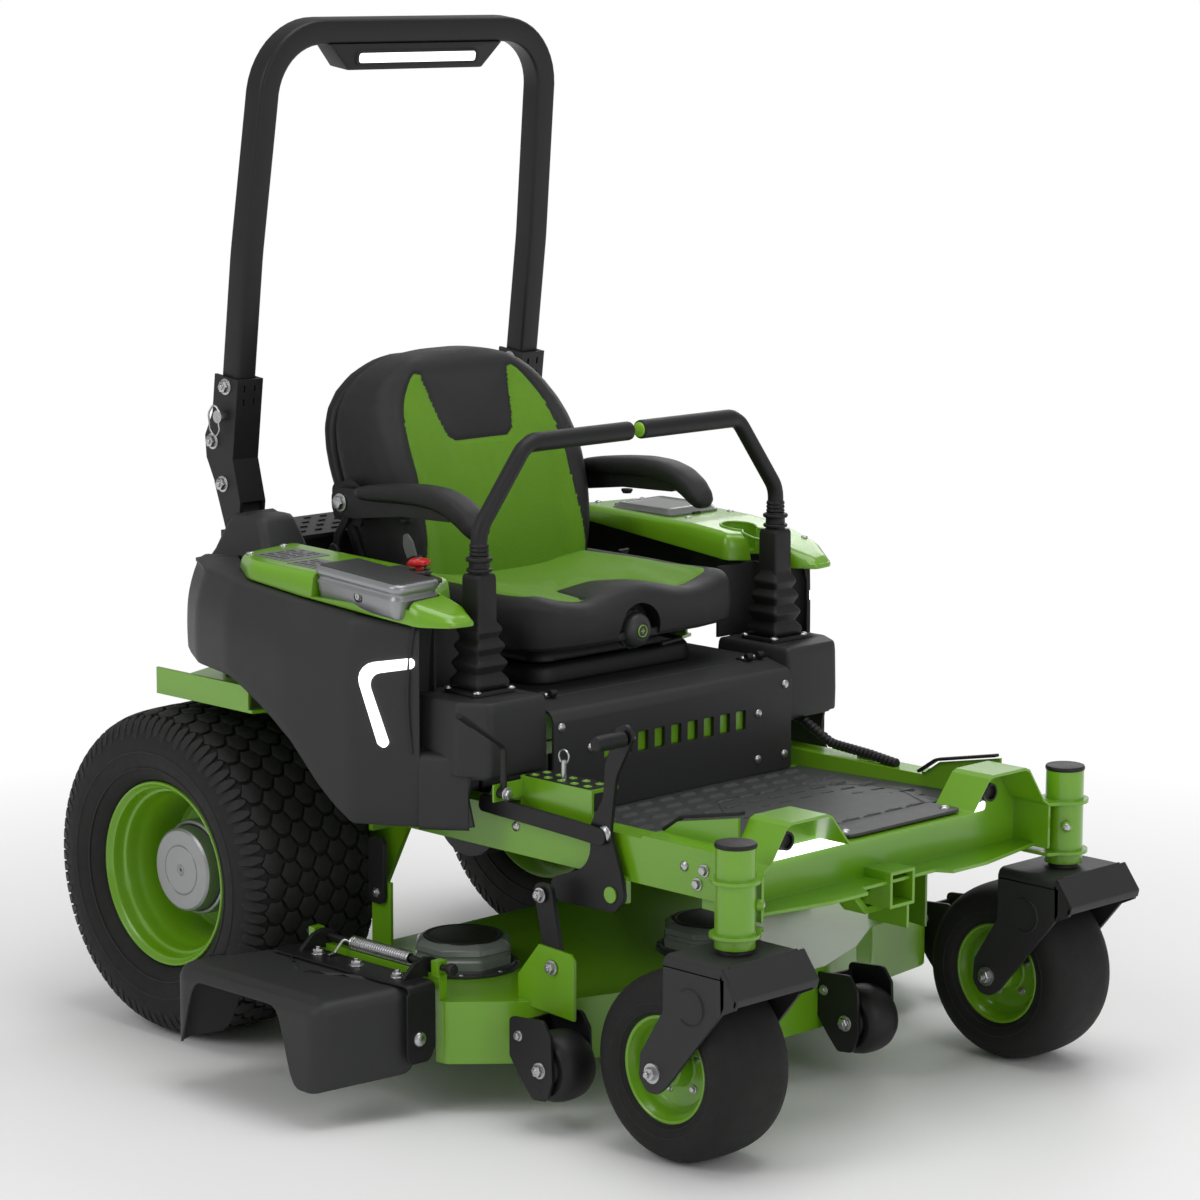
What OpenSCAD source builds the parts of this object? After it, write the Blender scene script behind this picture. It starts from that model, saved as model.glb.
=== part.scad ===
// Riding zero-turn mower, battery electric. Millimetres; +X is the machine's left, -Y its front, +Z up.
// Pieces are laid out with the rear axle at Y = 0 and the ground at Z = 0, then shifted by centred().

/* [Wheels] */
// outside radius of the rear drive tyres
rear_tyre_r = 300; // [250:1:340]
// width of a rear drive tyre
rear_tyre_w = 305; // [220:1:340]
// distance of each rear wheel's middle plane from the centreline
rear_track_half = 472.5; // [440:0.5:520]
// lip radius of the rear rims
rear_lip_r = 167; // [140:1:190]
// outside radius of the front caster tyres
caster_tyre_r = 160; // [130:1:165]
// width of a front caster tyre
caster_tyre_w = 162; // [120:1:170]
// how far the caster axle trails behind its swivel
caster_trail = 90; // [60:1:110]
// radius of the caster axle bolts
caster_axle_r = 9.5; // [7:0.5:12]

/* [Frame] */
// distance of each caster swivel from the centreline
caster_x = 423; // [380:1:450]
// distance of the caster swivels ahead of the rear axle
caster_y = 1252; // [1150:1:1350]
// outside radius of the caster tubes
caster_tube_r = 33.5; // [28:0.5:40]
// radius of the caster stems
stem_r = 20; // [14:0.5:24]
// running gap between a turning shaft and its bore
run_gap = 0.05; // [0.02:0.01:0.1]
// outside face of the front side rails from the centreline
rail_x = 383; // [340:1:410]
// width of the front side rails
rail_w = 50; // [30:1:70]
// height of the top of the front side rails
rail_top = 500; // [460:1:540]
// depth of the front side rails
rail_h = 78; // [50:1:100]
// clear inside width and height of the square front receiver tube
receiver_in = 51; // [38:0.5:55]
// radius of the cross hole in the front receiver tube
receiver_hole_r = 8; // [6:0.5:10]
// radius of the hole in the rear hitch plate
hitch_hole_r = 10; // [8:0.5:14]

/* [Roll bar] */
// height of the roll bar's fold pivot
rops_z = 1110; // [1050:1:1180]
// distance of the roll bar's fold pivot behind the rear axle
rops_y = 70; // [40:1:100]
// distance of each roll bar leg's middle from the centreline
rops_x = 357; // [320:1:380]
// side of the square roll bar tube
rops_t = 46; // [38:1:52]
// length of the roll bar from its pivot to its top
rops_len = 724; // [600:1:800]
// forward lean of the roll bar, degrees
rops_lean = 6.8; // [0:0.1:12]
// outside radius of the roll bar's top corners
rops_corner = 140; // [100:1:170]
// radius of the roll bar's pivot pins
rops_pin_r = 6.5; // [5:0.5:10]

/* [Seat] */
// half width of the seat pan
seat_hw = 262; // [230:1:280]
// height of the top of the seat cushion
seat_top = 838; // [800:1:870]
// height of the top of the seat back
back_top = 1219; // [1150:1:1260]
// half width of the seat back at its widest
back_hw = 250; // [200:1:265]
// height of the armrest pivots
arm_z = 962; // [920:1:990]
// radius of the armrest pivot bolts
arm_pin_r = 8; // [6:0.5:10]

/* [Controls] */
// distance of each steering lever from the centreline
lever_x = 375; // [340:1:400]
// distance of the steering levers ahead of the rear axle
lever_y = 600; // [560:1:640]
// radius of the steering lever tubes
lever_r = 13.5; // [10:0.5:16]
// height of the level grip part of the steering levers
grip_z = 1109; // [1050:1:1150]
// radius of the stop button's head
stop_r = 15; // [12:0.5:20]

/* [Deck] */
// sideways offset of the middle blade from the centreline
deck_x = 15; // [-40:1:60]
// radius swept by each blade
blade_reach = 207; // [190:1:212]
// sideways distance between neighbouring blades
blade_step = 393; // [380:1:410]
// distance of the middle blade ahead of the rear axle
blade_y_mid = 785; // [740:1:820]
// distance of the outer blades ahead of the rear axle
blade_y_out = 560; // [540:1:620]
// height of the deck's bottom edge
deck_z0 = 88; // [60:1:100]
// height of the deck's top plate
deck_z1 = 197; // [170:1:215]
// radius of the deck's anti-scalp rollers
roller_r = 61; // [50:1:66]
// height of the anti-scalp roller axles
roller_z = 110; // [96:1:125]
// outer edge of the discharge chute from the centreline
chute_x = 786; // [700:1:800]

/* [Hidden] */

green = [0.33, 0.62, 0.05];
charcoal = [0.13, 0.13, 0.135];
black = [0.05, 0.05, 0.05];
zinc = [0.75, 0.75, 0.77];
$fn = 48;

// both kinds of wheel stand on the ground
rear_axle_z = rear_tyre_r;
caster_axle_z = caster_tyre_r;
caster_axle_y = -caster_y + caster_trail;
motor_flange_r = 72;
hitch_end_y = 318;

// deck roller middles, right to left: [x, y]
roller_spots = [[-478, -905], [100, -1072], [612, -868]];
roller_axle_half = 52;

// shift of the whole machine: half the difference of its reaches
front_reach = caster_y + 96;
left_reach = roller_spots[2][0] + roller_axle_half;
shift_x = (chute_x - left_reach) / 2;
shift_y = (front_reach - hitch_end_y) / 2;

// ---- helpers: a range is [low, high] ----
module centred() { translate([shift_x, shift_y, 0]) children(); }
module mirrored() { mirror([1, 0, 0]) children(); }
module both() { children(); mirrored() children(); }
module box(xs, ys, zs) {
  translate([xs[0], ys[0], zs[0]]) cube([xs[1] - xs[0], ys[1] - ys[0], zs[1] - zs[0]]);
}
// round rods along each axis
module rod_x(xs, y, z, r) {
  translate([xs[0], y, z]) rotate([0, 90, 0]) cylinder(r = r, h = xs[1] - xs[0]);
}
module rod_y(x, ys, z, r) {
  translate([x, ys[0], z]) rotate([-90, 0, 0]) cylinder(r = r, h = ys[1] - ys[0]);
}
module rod_z(x, y, zs, r) { translate([x, y, zs[0]]) cylinder(r = r, h = zs[1] - zs[0]); }
// outline of [y, z] drawn out along X
module slab_x(xs, outline) {
  translate([xs[0], 0, 0]) rotate([90, 0, 90])
    linear_extrude(height = xs[1] - xs[0]) polygon(outline);
}
// outline of [x, z] drawn out along Y
module slab_y(ys, outline) {
  translate([0, ys[1], 0]) rotate([90, 0, 0])
    linear_extrude(height = ys[1] - ys[0]) polygon(outline);
}
// outline of [x, y] drawn out along Z
module slab_z(zs, outline) {
  translate([0, 0, zs[0]]) linear_extrude(height = zs[1] - zs[0]) polygon(outline);
}
// straight round bar between two points
module bar(start, end, r) {
  run = end - start;
  translate(start) rotate([0, acos(run[2] / norm(run)), atan2(run[1], run[0])])
    cylinder(r = r, h = norm(run));
}
// washer and hex head facing +X, and facing -Y
module bolt_x(x, y, z, r) {
  rod_x([x, x + 2], y, z, r * 1.9);
  translate([x + 2, y, z]) rotate([0, 90, 0]) cylinder(r = r * 1.35, h = r * 1.1, $fn = 6);
}
module bolt_y(x, y, z, r) {
  rod_y(x, [y - 2, y], z, r * 1.9);
  translate([x, y - 2 - r * 1.1, z]) rotate([-90, 0, 0])
    cylinder(r = r * 1.35, h = r * 1.1, $fn = 6);
}

function reversed(pts) = [for (i = [len(pts) - 1:-1:0]) pts[i]];
// a half outline followed by its mirror image, walked back
function across(pts) = concat(pts, [for (p = reversed(pts)) [-p[0], p[1]]]);

// outline from corner points [x, y, radius], each corner rounded with its own radius
corner_steps = 5;
function unit(v) = v / norm(v);
function corner(before, at, after) =
  let(r = at[2],
    u = unit([before[0] - at[0], before[1] - at[1]]),
    w = unit([after[0] - at[0], after[1] - at[1]]),
    half = acos(max(-1, min(1, u * w))) / 2,
    tangent = r / tan(half),
    mid = [at[0], at[1]] + unit(u + w) * r / sin(half),
    from = atan2(at[1] + u[1] * tangent - mid[1], at[0] + u[0] * tangent - mid[0]),
    to = atan2(at[1] + w[1] * tangent - mid[1], at[0] + w[0] * tangent - mid[0]),
    turn = to - from,
    sweep = turn > 180 ? turn - 360 : turn < -180 ? turn + 360 : turn)
  r < 0.01 ? [[at[0], at[1]]]
    : [for (i = [0:corner_steps]) let(a = from + sweep * i / corner_steps)
        [mid[0] + r * cos(a), mid[1] + r * sin(a)]];
function rounded(pts) = let(n = len(pts))
  [for (i = [0:n - 1]) for (p = corner(pts[(i + n - 1) % n], pts[i], pts[(i + 1) % n])) p];

// ---- frame ----
body_x = 286; // inside face of the rear side plates
rail_in = rail_x - rail_w;
rail_ys = [-1178, -330];
cross_ys = [-1262, -1178]; // front and back of the crossmember
cross_z0 = 402;
receiver_z = 392;
caster_tube_top = 536;
shelf_z = [620, 626];
seat_x = 333; // half width of the cross beams and the foot plate

// pivots of the lift parts on the right rail
rocker_y = -950;
rocker_z = 398;
rocker_pin_r = 9;
lock_x = -440;
lock_z = 541;
lock_pin_r = 9;

// height selector shelf
selector_xs = [-rail_x - 1, -rail_x + 62];
selector_ys = [-885, -712];
selector_z = 556;

module receiver() {
  outside = receiver_in + 12;
  half = outside / 2;
  bore = receiver_in / 2;
  difference() {
    box([-half, half], [-1243, -1135], [receiver_z - half, receiver_z + half]);
    box([-bore, bore], [-1244, -1134], [receiver_z - bore, receiver_z + bore]);
    rod_x([-outside, outside], -1192, receiver_z, receiver_hole_r);
  }
}

// upright tube with two collars and a stub pointing forwards and inwards
collar_zs = [[388, 394], [478, 484]];
module caster_tube(x) {
  difference() {
    union() {
      rod_z(x, -caster_y, [370, caster_tube_top], caster_tube_r);
      for (zs = collar_zs) rod_z(x, -caster_y, zs, caster_tube_r + 9);
      translate([x, -caster_y, 440]) rotate([0, 0, x > 0 ? 225 : -45]) rotate([0, 90, 0])
        translate([0, 0, 27]) cylinder(r = 8, h = 18);
    }
    rod_z(x, -caster_y, [360, 540], stem_r + run_gap);
  }
}

// top edge of the crossmember's right half, with its raised arch: [x, z]
arch_right = [[-372, 482], [-352, 494], [-312, 552], [-300, 557], [-214, 557], [-202, 552],
  [-160, 502], [-150, 500]];
cross_top = across(arch_right);
module crossmember() {
  // top skin with two raised arches
  slab_y(cross_ys, concat(cross_top, [for (p = reversed(cross_top)) [p[0], p[1] - 5]]));
  // back web under the skin
  difference() {
    slab_y([-1183, -1178], concat(cross_top, [[372, cross_z0], [-372, cross_z0]]));
    both() rod_y(255, [-1190, -1170], 500, 26);
  }
  // lower lip
  slab_z([cross_z0, 408], [[-392, -1183], [392, -1183], [392, -1225], [200, -1262],
    [110, -1262], [95, -1235], [-95, -1235], [-110, -1262], [-200, -1262], [-392, -1225]]);
  // ears that carry the caster tubes
  both() difference() {
    union() {
      slab_x([366, 372], [[-1262, cross_z0], [-1130, cross_z0], [-1130, 482], [-1262, 482]]);
      slab_z(collar_zs[1], [[366, -1130], [366, -1262], [390, -1275], [423, -1252],
        [400, -1215]]);
      slab_z(collar_zs[0], [[366, -1204], [366, -1262], [390, -1275], [423, -1252],
        [402, -1206]]);
      box([372, 392], [-1225, -1183], [cross_z0, 478]);
    }
    rod_z(caster_x, -caster_y, [300, 600], caster_tube_r - 1);
  }
  // support bracket under the receiver
  slab_y([-1183, -1135], [[-85, cross_z0], [-70, cross_z0], [-20, 352], [20, 352],
    [70, cross_z0], [85, cross_z0], [26, 340], [-26, 340]]);
  box([20, 26], [-1236, -1150], [318, 362]);
}

module front_rail() {
  wall = 5;
  difference() {
    box([rail_in, rail_x], rail_ys, [rail_top - rail_h, rail_top]);
    box([rail_in + wall, rail_x - wall], [-1170, -340],
      [rail_top - rail_h + wall, rail_top - wall]);
  }
  // raised arch flank joining rail and crossmember
  slab_x([rail_in, rail_in + wall], [[-1178, 500], [-1000, 500], [-1040, 528], [-1178, 556]]);
  slab_z([500, 505], [[rail_in, -1178], [rail_in, -1000], [rail_x, -1000], [rail_x, -1178]]);
  // cable tab
  box([rail_x - 20, rail_x], [-860, -820], [500, 506]);
}

side_plate_outline = [[-330, 400], [-330, 620], [190, 620], [230, 520], [230, 380], [120, 210],
  [-150, 210], [-240, 230]]; // [y, z]
module side_plate() {
  difference() {
    slab_x([body_x, body_x + 10], side_plate_outline);
    rod_x([280, 300], 0, rear_axle_z, motor_flange_r + run_gap);
  }
}

module hitch() {
  difference() {
    union() {
      box([-190, 190], [224, 236], [330, 470]);
      slab_z([360, 370], rounded([[-45, 236, 0], [45, 236, 0], [45, hitch_end_y, 30],
        [-45, hitch_end_y, 30]]));
      box([-45, -37], [236, 280], [370, 400]);
      box([37, 45], [236, 280], [370, 400]);
    }
    rod_z(0, 282, [350, 380], hitch_hole_r);
  }
}

module height_selector() {
  difference() {
    box(selector_xs, selector_ys, [selector_z, selector_z + 6]);
    for (i = [0:4]) for (j = [0:1]) rod_z(-371 + 28 * j, -862 + 32 * i, [550, 570], 6);
  }
  box([-rail_x - 1, -rail_x + 4], selector_ys, [rail_top, selector_z]);
  box(selector_xs, [-717, -712], [rail_top, selector_z]);
}

// pins and lugs on the right rail for the lift rocker and the lock lever
module lift_mounts() {
  rod_x([-403, -rail_x + 3], rocker_y, rocker_z, rocker_pin_r);
  box([-392, -rail_x + 2], [-975, -925], [385, 430]);
  rod_x([-406, -403], rocker_y, rocker_z, 14);
  difference() {
    box([-454, -rail_x], [-720, -716], [526, selector_z]);
    rod_y(lock_x, [-725, -710], lock_z, lock_pin_r + run_gap);
  }
}

module main_frame() color(green) centred() {
  both() {
    front_rail();
    side_plate();
  }
  // step between the wide front rails and the narrow rear
  difference() {
    box([-rail_x, rail_x], [-330, -318], [400, 500]);
    box([-200, 200], [-340, -300], [424, 476]);
  }
  // rear cross beam, floor and hitch plate
  box([-body_x, body_x], [214, 224], [380, 560]);
  box([-body_x, body_x], [-318, 214], [400, 406]);
  hitch();
  // fender shelves over the tyres
  both() {
    slab_z(shelf_z, [[body_x, -300], [560, -210], [560, 60], [480, 120], [body_x, 190]]);
    slab_x([554, 560], [[-200, 626], [60, 626], [60, 668], [-200, 668]]);
  }
  // cross beams under the seat
  box([-seat_x, seat_x], [-700, -690], [424, 470]);
  box([-body_x, body_x], [-324, -312], [494, 630]);
  both() box([body_x, seat_x], [-330, -318], [500, 640]);
  crossmember();
  receiver();
  caster_tube(caster_x);
  caster_tube(-caster_x);
  height_selector();
  lift_mounts();
}

// cranked light strip on the slanted front corner of a cowl: [along, z, radius]
side_led_corners = [[-45, 762, 8], [62, 747, 30], [20, 610, 7], [8, 602, 7], [0, 612, 7],
  [40, 730, 22], [-45, 744, 8]];
module side_led() {
  translate([526, -536, 0]) rotate([0, 0, 55.3]) translate([0, -1, 0])
    slab_y([-3.5, 3], rounded(side_led_corners));
}
module led_strips() color([1, 1, 1]) centred() {
  slab_y([-1190, -1183],
    rounded([[-280, 474, 7], [280, 474, 7], [280, 492, 7], [-280, 492, 7]]));
  both() side_led();
}

// ---- cowls and panels ----
// side view of a cowl: [y, z]
cowl_side = [[92, 700], [98, 790], [70, 868], [-120, 862], [-600, 815], [-664, 800],
  [-690, 700], [-668, 600], [-656, 520], [-672, 470], [-630, 462], [-475, 466], [-400, 530],
  [-340, 598], [-260, 650], [-178, 690], [60, 694]];
// space under the cowl's top skin: [y, z]
cowl_side_in = [[90, 700], [92, 790], [66, 868], [-120, 862], [-600, 815], [-658, 801],
  [-683, 700], [-683, 400], [90, 400]];
// plan views of a cowl's outside and inside: [x, y]
cowl_plan = [[312, 92], [400, 98], [500, 40], [560, -60], [590, -180], [588, -330],
  [566, -478], [496, -579], [455, -655], [440, -690], [312, -690]];
cowl_plan_in = [[320, 84], [396, 90], [494, 33], [552, -64], [582, -181], [580, -329],
  [558.3, -474.5], [488.7, -575], [448, -651], [434, -682], [320, -682]];
light_recess = [[330, -500], [425, -500], [425, -546], [500, -546], [540, -500], [536, -494],
  [498, -540], [431, -540], [431, -494], [330, -494]]; // [x, y]
lever_box_corners = [[306, -700, 10], [306, -520, 0], [470, -520, 0], [470, -640, 10],
  [440, -700, 10]]; // [x, y, radius]

module cowl_wall() {
  intersection() {
    slab_x([300, 620], cowl_side);
    difference() {
      slab_z([400, 900], cowl_plan);
      translate([0, 0, -1]) slab_z([400, 905], cowl_plan_in);
    }
    union() {
      slab_z([660, 900], cowl_plan);
      slab_z([400, 660], [[455, 100], [620, 100], [620, -700], [455, -700]]);
    }
  }
}
module cowl_top() {
  intersection() {
    difference() {
      slab_x([312, 590], cowl_side);
      translate([0, 0, -6]) slab_x([300, 600], cowl_side_in);
    }
    slab_z([700, 900], cowl_plan);
  }
}
module cowl() {
  difference() {
    union() {
      cowl_wall();
      cowl_top();
      // back of the light recess
      slab_z([684, 818], light_recess);
      // raised box that carries the lever boot
      difference() {
        slab_z([560, 690], rounded(lever_box_corners));
        slab_z([555, 684], [[312, -694], [312, -500], [464, -500], [464, -636], [436, -694]]);
      }
    }
    // cut the upper front away above the lever box so the light recess stays open
    slab_z([690, 900], [[300, -740], [300, -546], [478, -546], [486, -590], [520, -740]]);
    // pocket for the light strip
    side_led();
    // lever opening
    box([lever_x - 31, lever_x + 31], [-lever_y - 31, -lever_y + 31], [600, 700]);
    // roll bar post passage
    box([322, 392], [-75, 110], [600, 900]);
    // knee room for the lift linkage
    box([290, 450], [-720, -480], [400, 560]);
    box([290, 330], [-530, 110], [400, 900]);
  }
}
module side_cowl_r() color(charcoal) centred() mirrored() cowl();
module side_cowl_l() color(charcoal) centred() cowl();

panel_x = 303; // half width of the knee panel and the seat plate
knee_y = -711; // front face of the knee panel
knee_bolt_x = 214;
knee_bolt_zs = [585, 500];
foot_bolt_x = 128;
foot_bolt_y = -1225;

module knee_panel() color(charcoal) centred() difference() {
  slab_x([-panel_x, panel_x], [[knee_y, 471.5], [-705, 471.5], [-705, 652], [-648, 664],
    [-648, 670], [knee_y, 657]]);
  for (i = [-4:4]) slab_x([i * 42 - 13, i * 42 + 13],
    [[-720, 560], [-700, 560], [-700, 596], [-720, 596]]);
  both() for (z = knee_bolt_zs) rod_y(knee_bolt_x, [-720, -700], z, 4);
}
module seat_plate() color(charcoal) centred() {
  difference() {
    box([-panel_x, panel_x], [-646, -8], [664, 670]);
    box([-120, 120], [-400, -160], [660, 675]);
  }
  both() box([panel_x - 6, panel_x], [-640, -12], [644, 664]);
  // low wall round the seat suspension
  difference() {
    box([-207, 207], [-568, -142], [670, 704]);
    box([-197, 197], [-558, -152], [660, 710]);
  }
  // front hinge knuckles
  for (x = [-275, -255, 255, 275]) rod_x([x - 6, x + 6], -652, 678, 6);
  both() box([248, 282], [-652, -640], [670, 673]);
}
module foot_plate() color(charcoal) centred() {
  difference() {
    intersection() {
      slab_x([-seat_x, seat_x], [[-704, 470], [-1100, 482], [-1177, 505.5], [-1258, 508],
        [-1258, 503], [-1178, 500.5], [-1100, 477], [-704, 465]]);
      slab_z([400, 560], [[-332, -704], [332, -704], [332, -1080], [149, -1176],
        [146, -1258], [-146, -1258], [-149, -1176], [-332, -1080]]);
    }
    both() rod_z(foot_bolt_x, foot_bolt_y, [450, 550], 4);
  }
}

// ---- consoles ----
stop_x = 395; // distance to the right of the centreline
stop_y = -470;
stop_hole_r = 11.4;
// plan view of a console: [x, y]
console_plan = [[350, -80], [500, -110], [548, -190], [546, -330], [528, -480], [512, -590],
  [480, -645], [432, -650], [414, -600], [414, -535], [350, -500]];
// hollow left-hand console shell; children are cut out of it
module console_body() {
  difference() {
    intersection() {
      slab_z([800, 900], console_plan);
      slab_x([340, 560], [[-75, 868], [-75, 893], [-400, 886], [-520, 872], [-645, 838],
        [-645, 822], [-600, 817], [-120, 864]]);
    }
    intersection() {
      slab_z([800, 900], [for (p = console_plan) p * 0.985 + [6.5, -5]]);
      slab_x([330, 570], [[-85, 860], [-85, 886], [-400, 879], [-520, 865], [-640, 831],
        [-640, 800], [-85, 800]]);
    }
    children();
  }
}
module console_r() color(green) centred() mirrored() console_body() {
  box([430, 560], [-575, -350], [810, 900]);
  rod_z(stop_x, stop_y, [800, 900], stop_hole_r);
}
module console_l() color(green) centred() console_body() {
  rod_z(420, -520, [800, 900], 34);
  rod_z(410, -430, [800, 900], 32);
  box([375, 520], [-330, -150], [876, 900]);
}
module control_housing() color([0.62, 0.62, 0.64]) centred() {
  difference() {
    union() {
      slab_x([-540, -432], [[-352, 862], [-352, 896], [-370, 902], [-560, 886], [-574, 868],
        [-560, 838], [-400, 842]]);
      box([-432, -375], [-520, -400], [888, 892]);
    }
    slab_x([-600, -533], [[-340, 850], [-340, 868], [-560, 850], [-560, 830], [-340, 830]]);
    rod_z(-stop_x, stop_y, [800, 900], stop_hole_r);
  }
}
module stop_button() color([0.85, 0.05, 0.05]) centred() {
  rod_z(-stop_x, stop_y, [872, 902], 8);
  rod_z(-stop_x, stop_y, [897.5, 908], stop_r);
}
module storage_lid() color([0.7, 0.72, 0.72]) centred() {
  slab_z([888, 893],
    rounded([[378, -328, 14], [516, -328, 14], [516, -165, 10], [378, -165, 10]]));
  // two hinge knuckles and their straps
  rod_x([400, 440], -158, 890.5, 4);
  rod_x([470, 505], -158, 890.5, 4);
  box([402, 438], [-166, -158], [888.5, 892.5]);
  box([472, 503], [-166, -158], [888.5, 892.5]);
}

// ---- roll bar ----
post_xs = [rops_x - 30, rops_x + 30];
cheek_t = 6.5;
// cheek outline about the fold pivot: [y, z]
post_cheek = [[-33, 73], [33, 73], [33, 0], [50, -45], [42, -85], [-30, -190], [-62, -170],
  [-62, -150], [-33, -75]];
tube_half = rops_t / 2;
leg_straight = 300; // upright length before the legs lean inwards
leg_lean = 2.4; // degrees

// frame at the fold pivot, leaning with the roll bar
module at_rops() { translate([0, rops_y, rops_z]) rotate([rops_lean, 0, 0]) children(); }

module rops_post() {
  between = [post_xs[0] + cheek_t, post_xs[1] - cheek_t];
  wide = [post_xs[0] - 4, post_xs[1] + 4];
  past = [post_xs[0] - 5, post_xs[1] + 5];
  difference() {
    union() {
      at_rops() {
        for (x = [post_xs[0], between[1]]) slab_x([x, x + cheek_t], post_cheek);
        slab_x(between, [[-33, 73], [-27, 73], [-27, -73], [-56, -150], [-62, -150],
          [-33, -75]]);
      }
      // lower post down to the fender shelf
      slab_x(between, [[60, 1000], [108, 985], [40, 800], [28, 640], [-24, 640], [-24, 800],
        [0, 860]]);
      slab_x(wide, [[-60, 866], [-40, 925], [10, 940], [50, 866]]);
      box(wide, [-60, 70], [626, 640]);
    }
    at_rops() {
      rod_x(past, 0, 0, rops_pin_r);
      rod_x(past, 26, -52, rops_pin_r);
      for (z = [55, 30]) for (x = [-12, 12])
        box([rops_x + x - 2, rops_x + x + 2], [-35, -20], [z - 6, z + 6]);
    }
  }
}
module rops_posts() color(black) centred() both() rops_post();

// left half of the hoop's edge, set in from the outside by inset: [x, z]
function hoop_half(inset) =
  let(r = rops_corner - inset,
    x_foot = rops_x + tube_half - inset,
    x_top = x_foot - (rops_len - rops_corner - leg_straight) * tan(leg_lean))
  concat([[x_foot, 0], [x_foot, leg_straight]],
    [for (a = [0:7.5:90]) [x_top - r + r * cos(a), rops_len - inset - r + r * sin(a)]]);
module rops_hoop() color(black) centred() at_rops() {
  leg = [rops_x - tube_half, rops_x + tube_half];
  difference() {
    union() {
      slab_y([-tube_half, tube_half],
        concat(across(hoop_half(0)), reversed(across(hoop_half(rops_t)))));
      both() rod_x(leg, 0, 0, tube_half);
    }
    both() rod_x([leg[0] - 1, leg[1] + 1], 0, 0, rops_pin_r + run_gap);
    // clearance holes for the light's screws
    both() rod_z(110, 0, [rops_len - rops_t - 5, rops_len - rops_t + 12], 3);
  }
}
module rops_light() color(black) centred() at_rops() {
  top = rops_len - rops_t;
  difference() {
    slab_y([-25, 20], rounded([[-215, top - 0.05, 0], [-165, top - 50, 6],
      [165, top - 50, 6], [215, top - 0.05, 0]]));
    box([-150, 150], [-30, -21], [top - 38, top - 20]);
  }
  slab_y([-27, -21], rounded([[-145, top - 37, 6], [145, top - 37, 6],
    [145, top - 21, 6], [-145, top - 21, 6]]));
}

module rops_pins() {
  both() at_rops() {
    rod_x([rops_x - 38, rops_x + 42], 0, 0, rops_pin_r);
    rod_x([rops_x + 42, rops_x + 46], 0, 0, 9);
    bolt_x(post_xs[1], 0, 55, 7);
    bolt_x(post_xs[1], -10, -125, 7);
  }
  // wire clip through each pin
  both() at_rops() difference() {
    rod_x([rops_x + 34, rops_x + 36.5], 22, -14, 22);
    rod_x([rops_x + 33, rops_x + 38], 22, -14, 19.5);
  }
  both() for (at = [[30, 905], [-10, 895]]) bolt_x(rops_x + 34.05, at[0], at[1], 7);
}
module frame_hardware() color(zinc) centred() {
  // rubber caps and arch edge pads
  both() {
    rod_z(caster_x, -caster_y, [caster_tube_top, caster_tube_top + 7], caster_tube_r + 1);
    slab_x([rail_in - 14, rail_in], [[-1176, 563], [-1040, 535], [-1000, 508],
      [-1000, 503], [-1040, 530], [-1176, 558]]);
  }
  // foot button
  rod_z(-200, -1010, [481, 490], 17);
  rops_pins();
  // bolts of the knee panel, the foot plate and the rails
  both() {
    for (z = knee_bolt_zs) bolt_y(knee_bolt_x, knee_y, z, 5);
    rod_z(foot_bolt_x, foot_bolt_y, [508, 511], 9);
    rod_z(foot_bolt_x, foot_bolt_y, [500.5, 508], 3.9);
    bolt_x(rail_x, -1130, 445, 5);
    bolt_x(rail_x, -1145, 470, 5);
  }
  // screw heads round each lever boot
  both() for (i = [-1, 1]) for (j = [-1, 1])
    rod_z(lever_x + i * 42, -lever_y + j * 42, [690, 693], 5);
}

// ---- rear body ----
module rear_cover() color(black) centred() difference() {
  union() {
    box([-300, 300], [0, 190], [626, 878]);
    slab_z([878, 886], [[-270, -14], [270, -14], [270, 180], [-270, 180]]);
    // rows of raised pads on top
    for (i = [-6:6]) for (j = [0:3]) slab_z([886, 889],
      [[i * 40 - 12, 20 + j * 42], [i * 40 + 4, 20 + j * 42],
       [i * 40 + 8, 28 + j * 42], [i * 40 - 8, 28 + j * 42]]);
  }
  box([-294, 294], [6, 184], [620, 870]);
  // slots in the back wall
  for (i = [0:7]) box([-240, 240], [180, 195], [660 + i * 24, 670 + i * 24]);
}
module battery_pack() color([0.2, 0.2, 0.21]) centred() {
  pitch = 178;
  for (i = [-1:1]) box([i * pitch - 84, i * pitch + 84], [-296, -20], [412, 640]);
  for (i = [-1:1]) box([i * pitch - 50, i * pitch + 50], [-170, -150], [640, 655]);
  box([-264, 264], [-300, -16], [406, 412]);
}
shaft_r = 22; // rear wheel shaft
module drive_motors() color([0.25, 0.25, 0.26]) centred() both() difference() {
  union() {
    rod_x([150, body_x], 0, rear_axle_z, 92);
    rod_x([body_x, 300], 0, rear_axle_z, motor_flange_r);
    rod_x([120, 150], 0, rear_axle_z, 60);
    box([180, 270], [-40, 40], [385, 400]);
  }
  rod_x([240, 305], 0, rear_axle_z, shaft_r + run_gap);
}

// ---- rear wheels ----
// body of revolution about the rear axle: [radius, x]
module spun(outline) {
  translate([0, 0, rear_axle_z]) rotate([0, 90, 0]) rotate_extrude($fn = 96) polygon(outline);
}
module hub() {
  difference() {
    union() {
      rod_x([250, 498], 0, rear_axle_z, shaft_r);
      rod_x([484, 496], 0, rear_axle_z, 74);
      // domed hub cover
      spun([[0, 548], [0, 558], [70, 558], [85, 552], [85, 508], [79, 508], [79, 548]]);
      rod_x([496, 550], 0, rear_axle_z, 8);
    }
    for (i = [0:4])
      rod_x([480, 500], 60 * cos(72 * i), rear_axle_z + 60 * sin(72 * i), 6.5);
  }
}
module wheel_hub_r() color(zinc) centred() mirrored() hub();
module wheel_hub_l() color(zinc) centred() hub();

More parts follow.
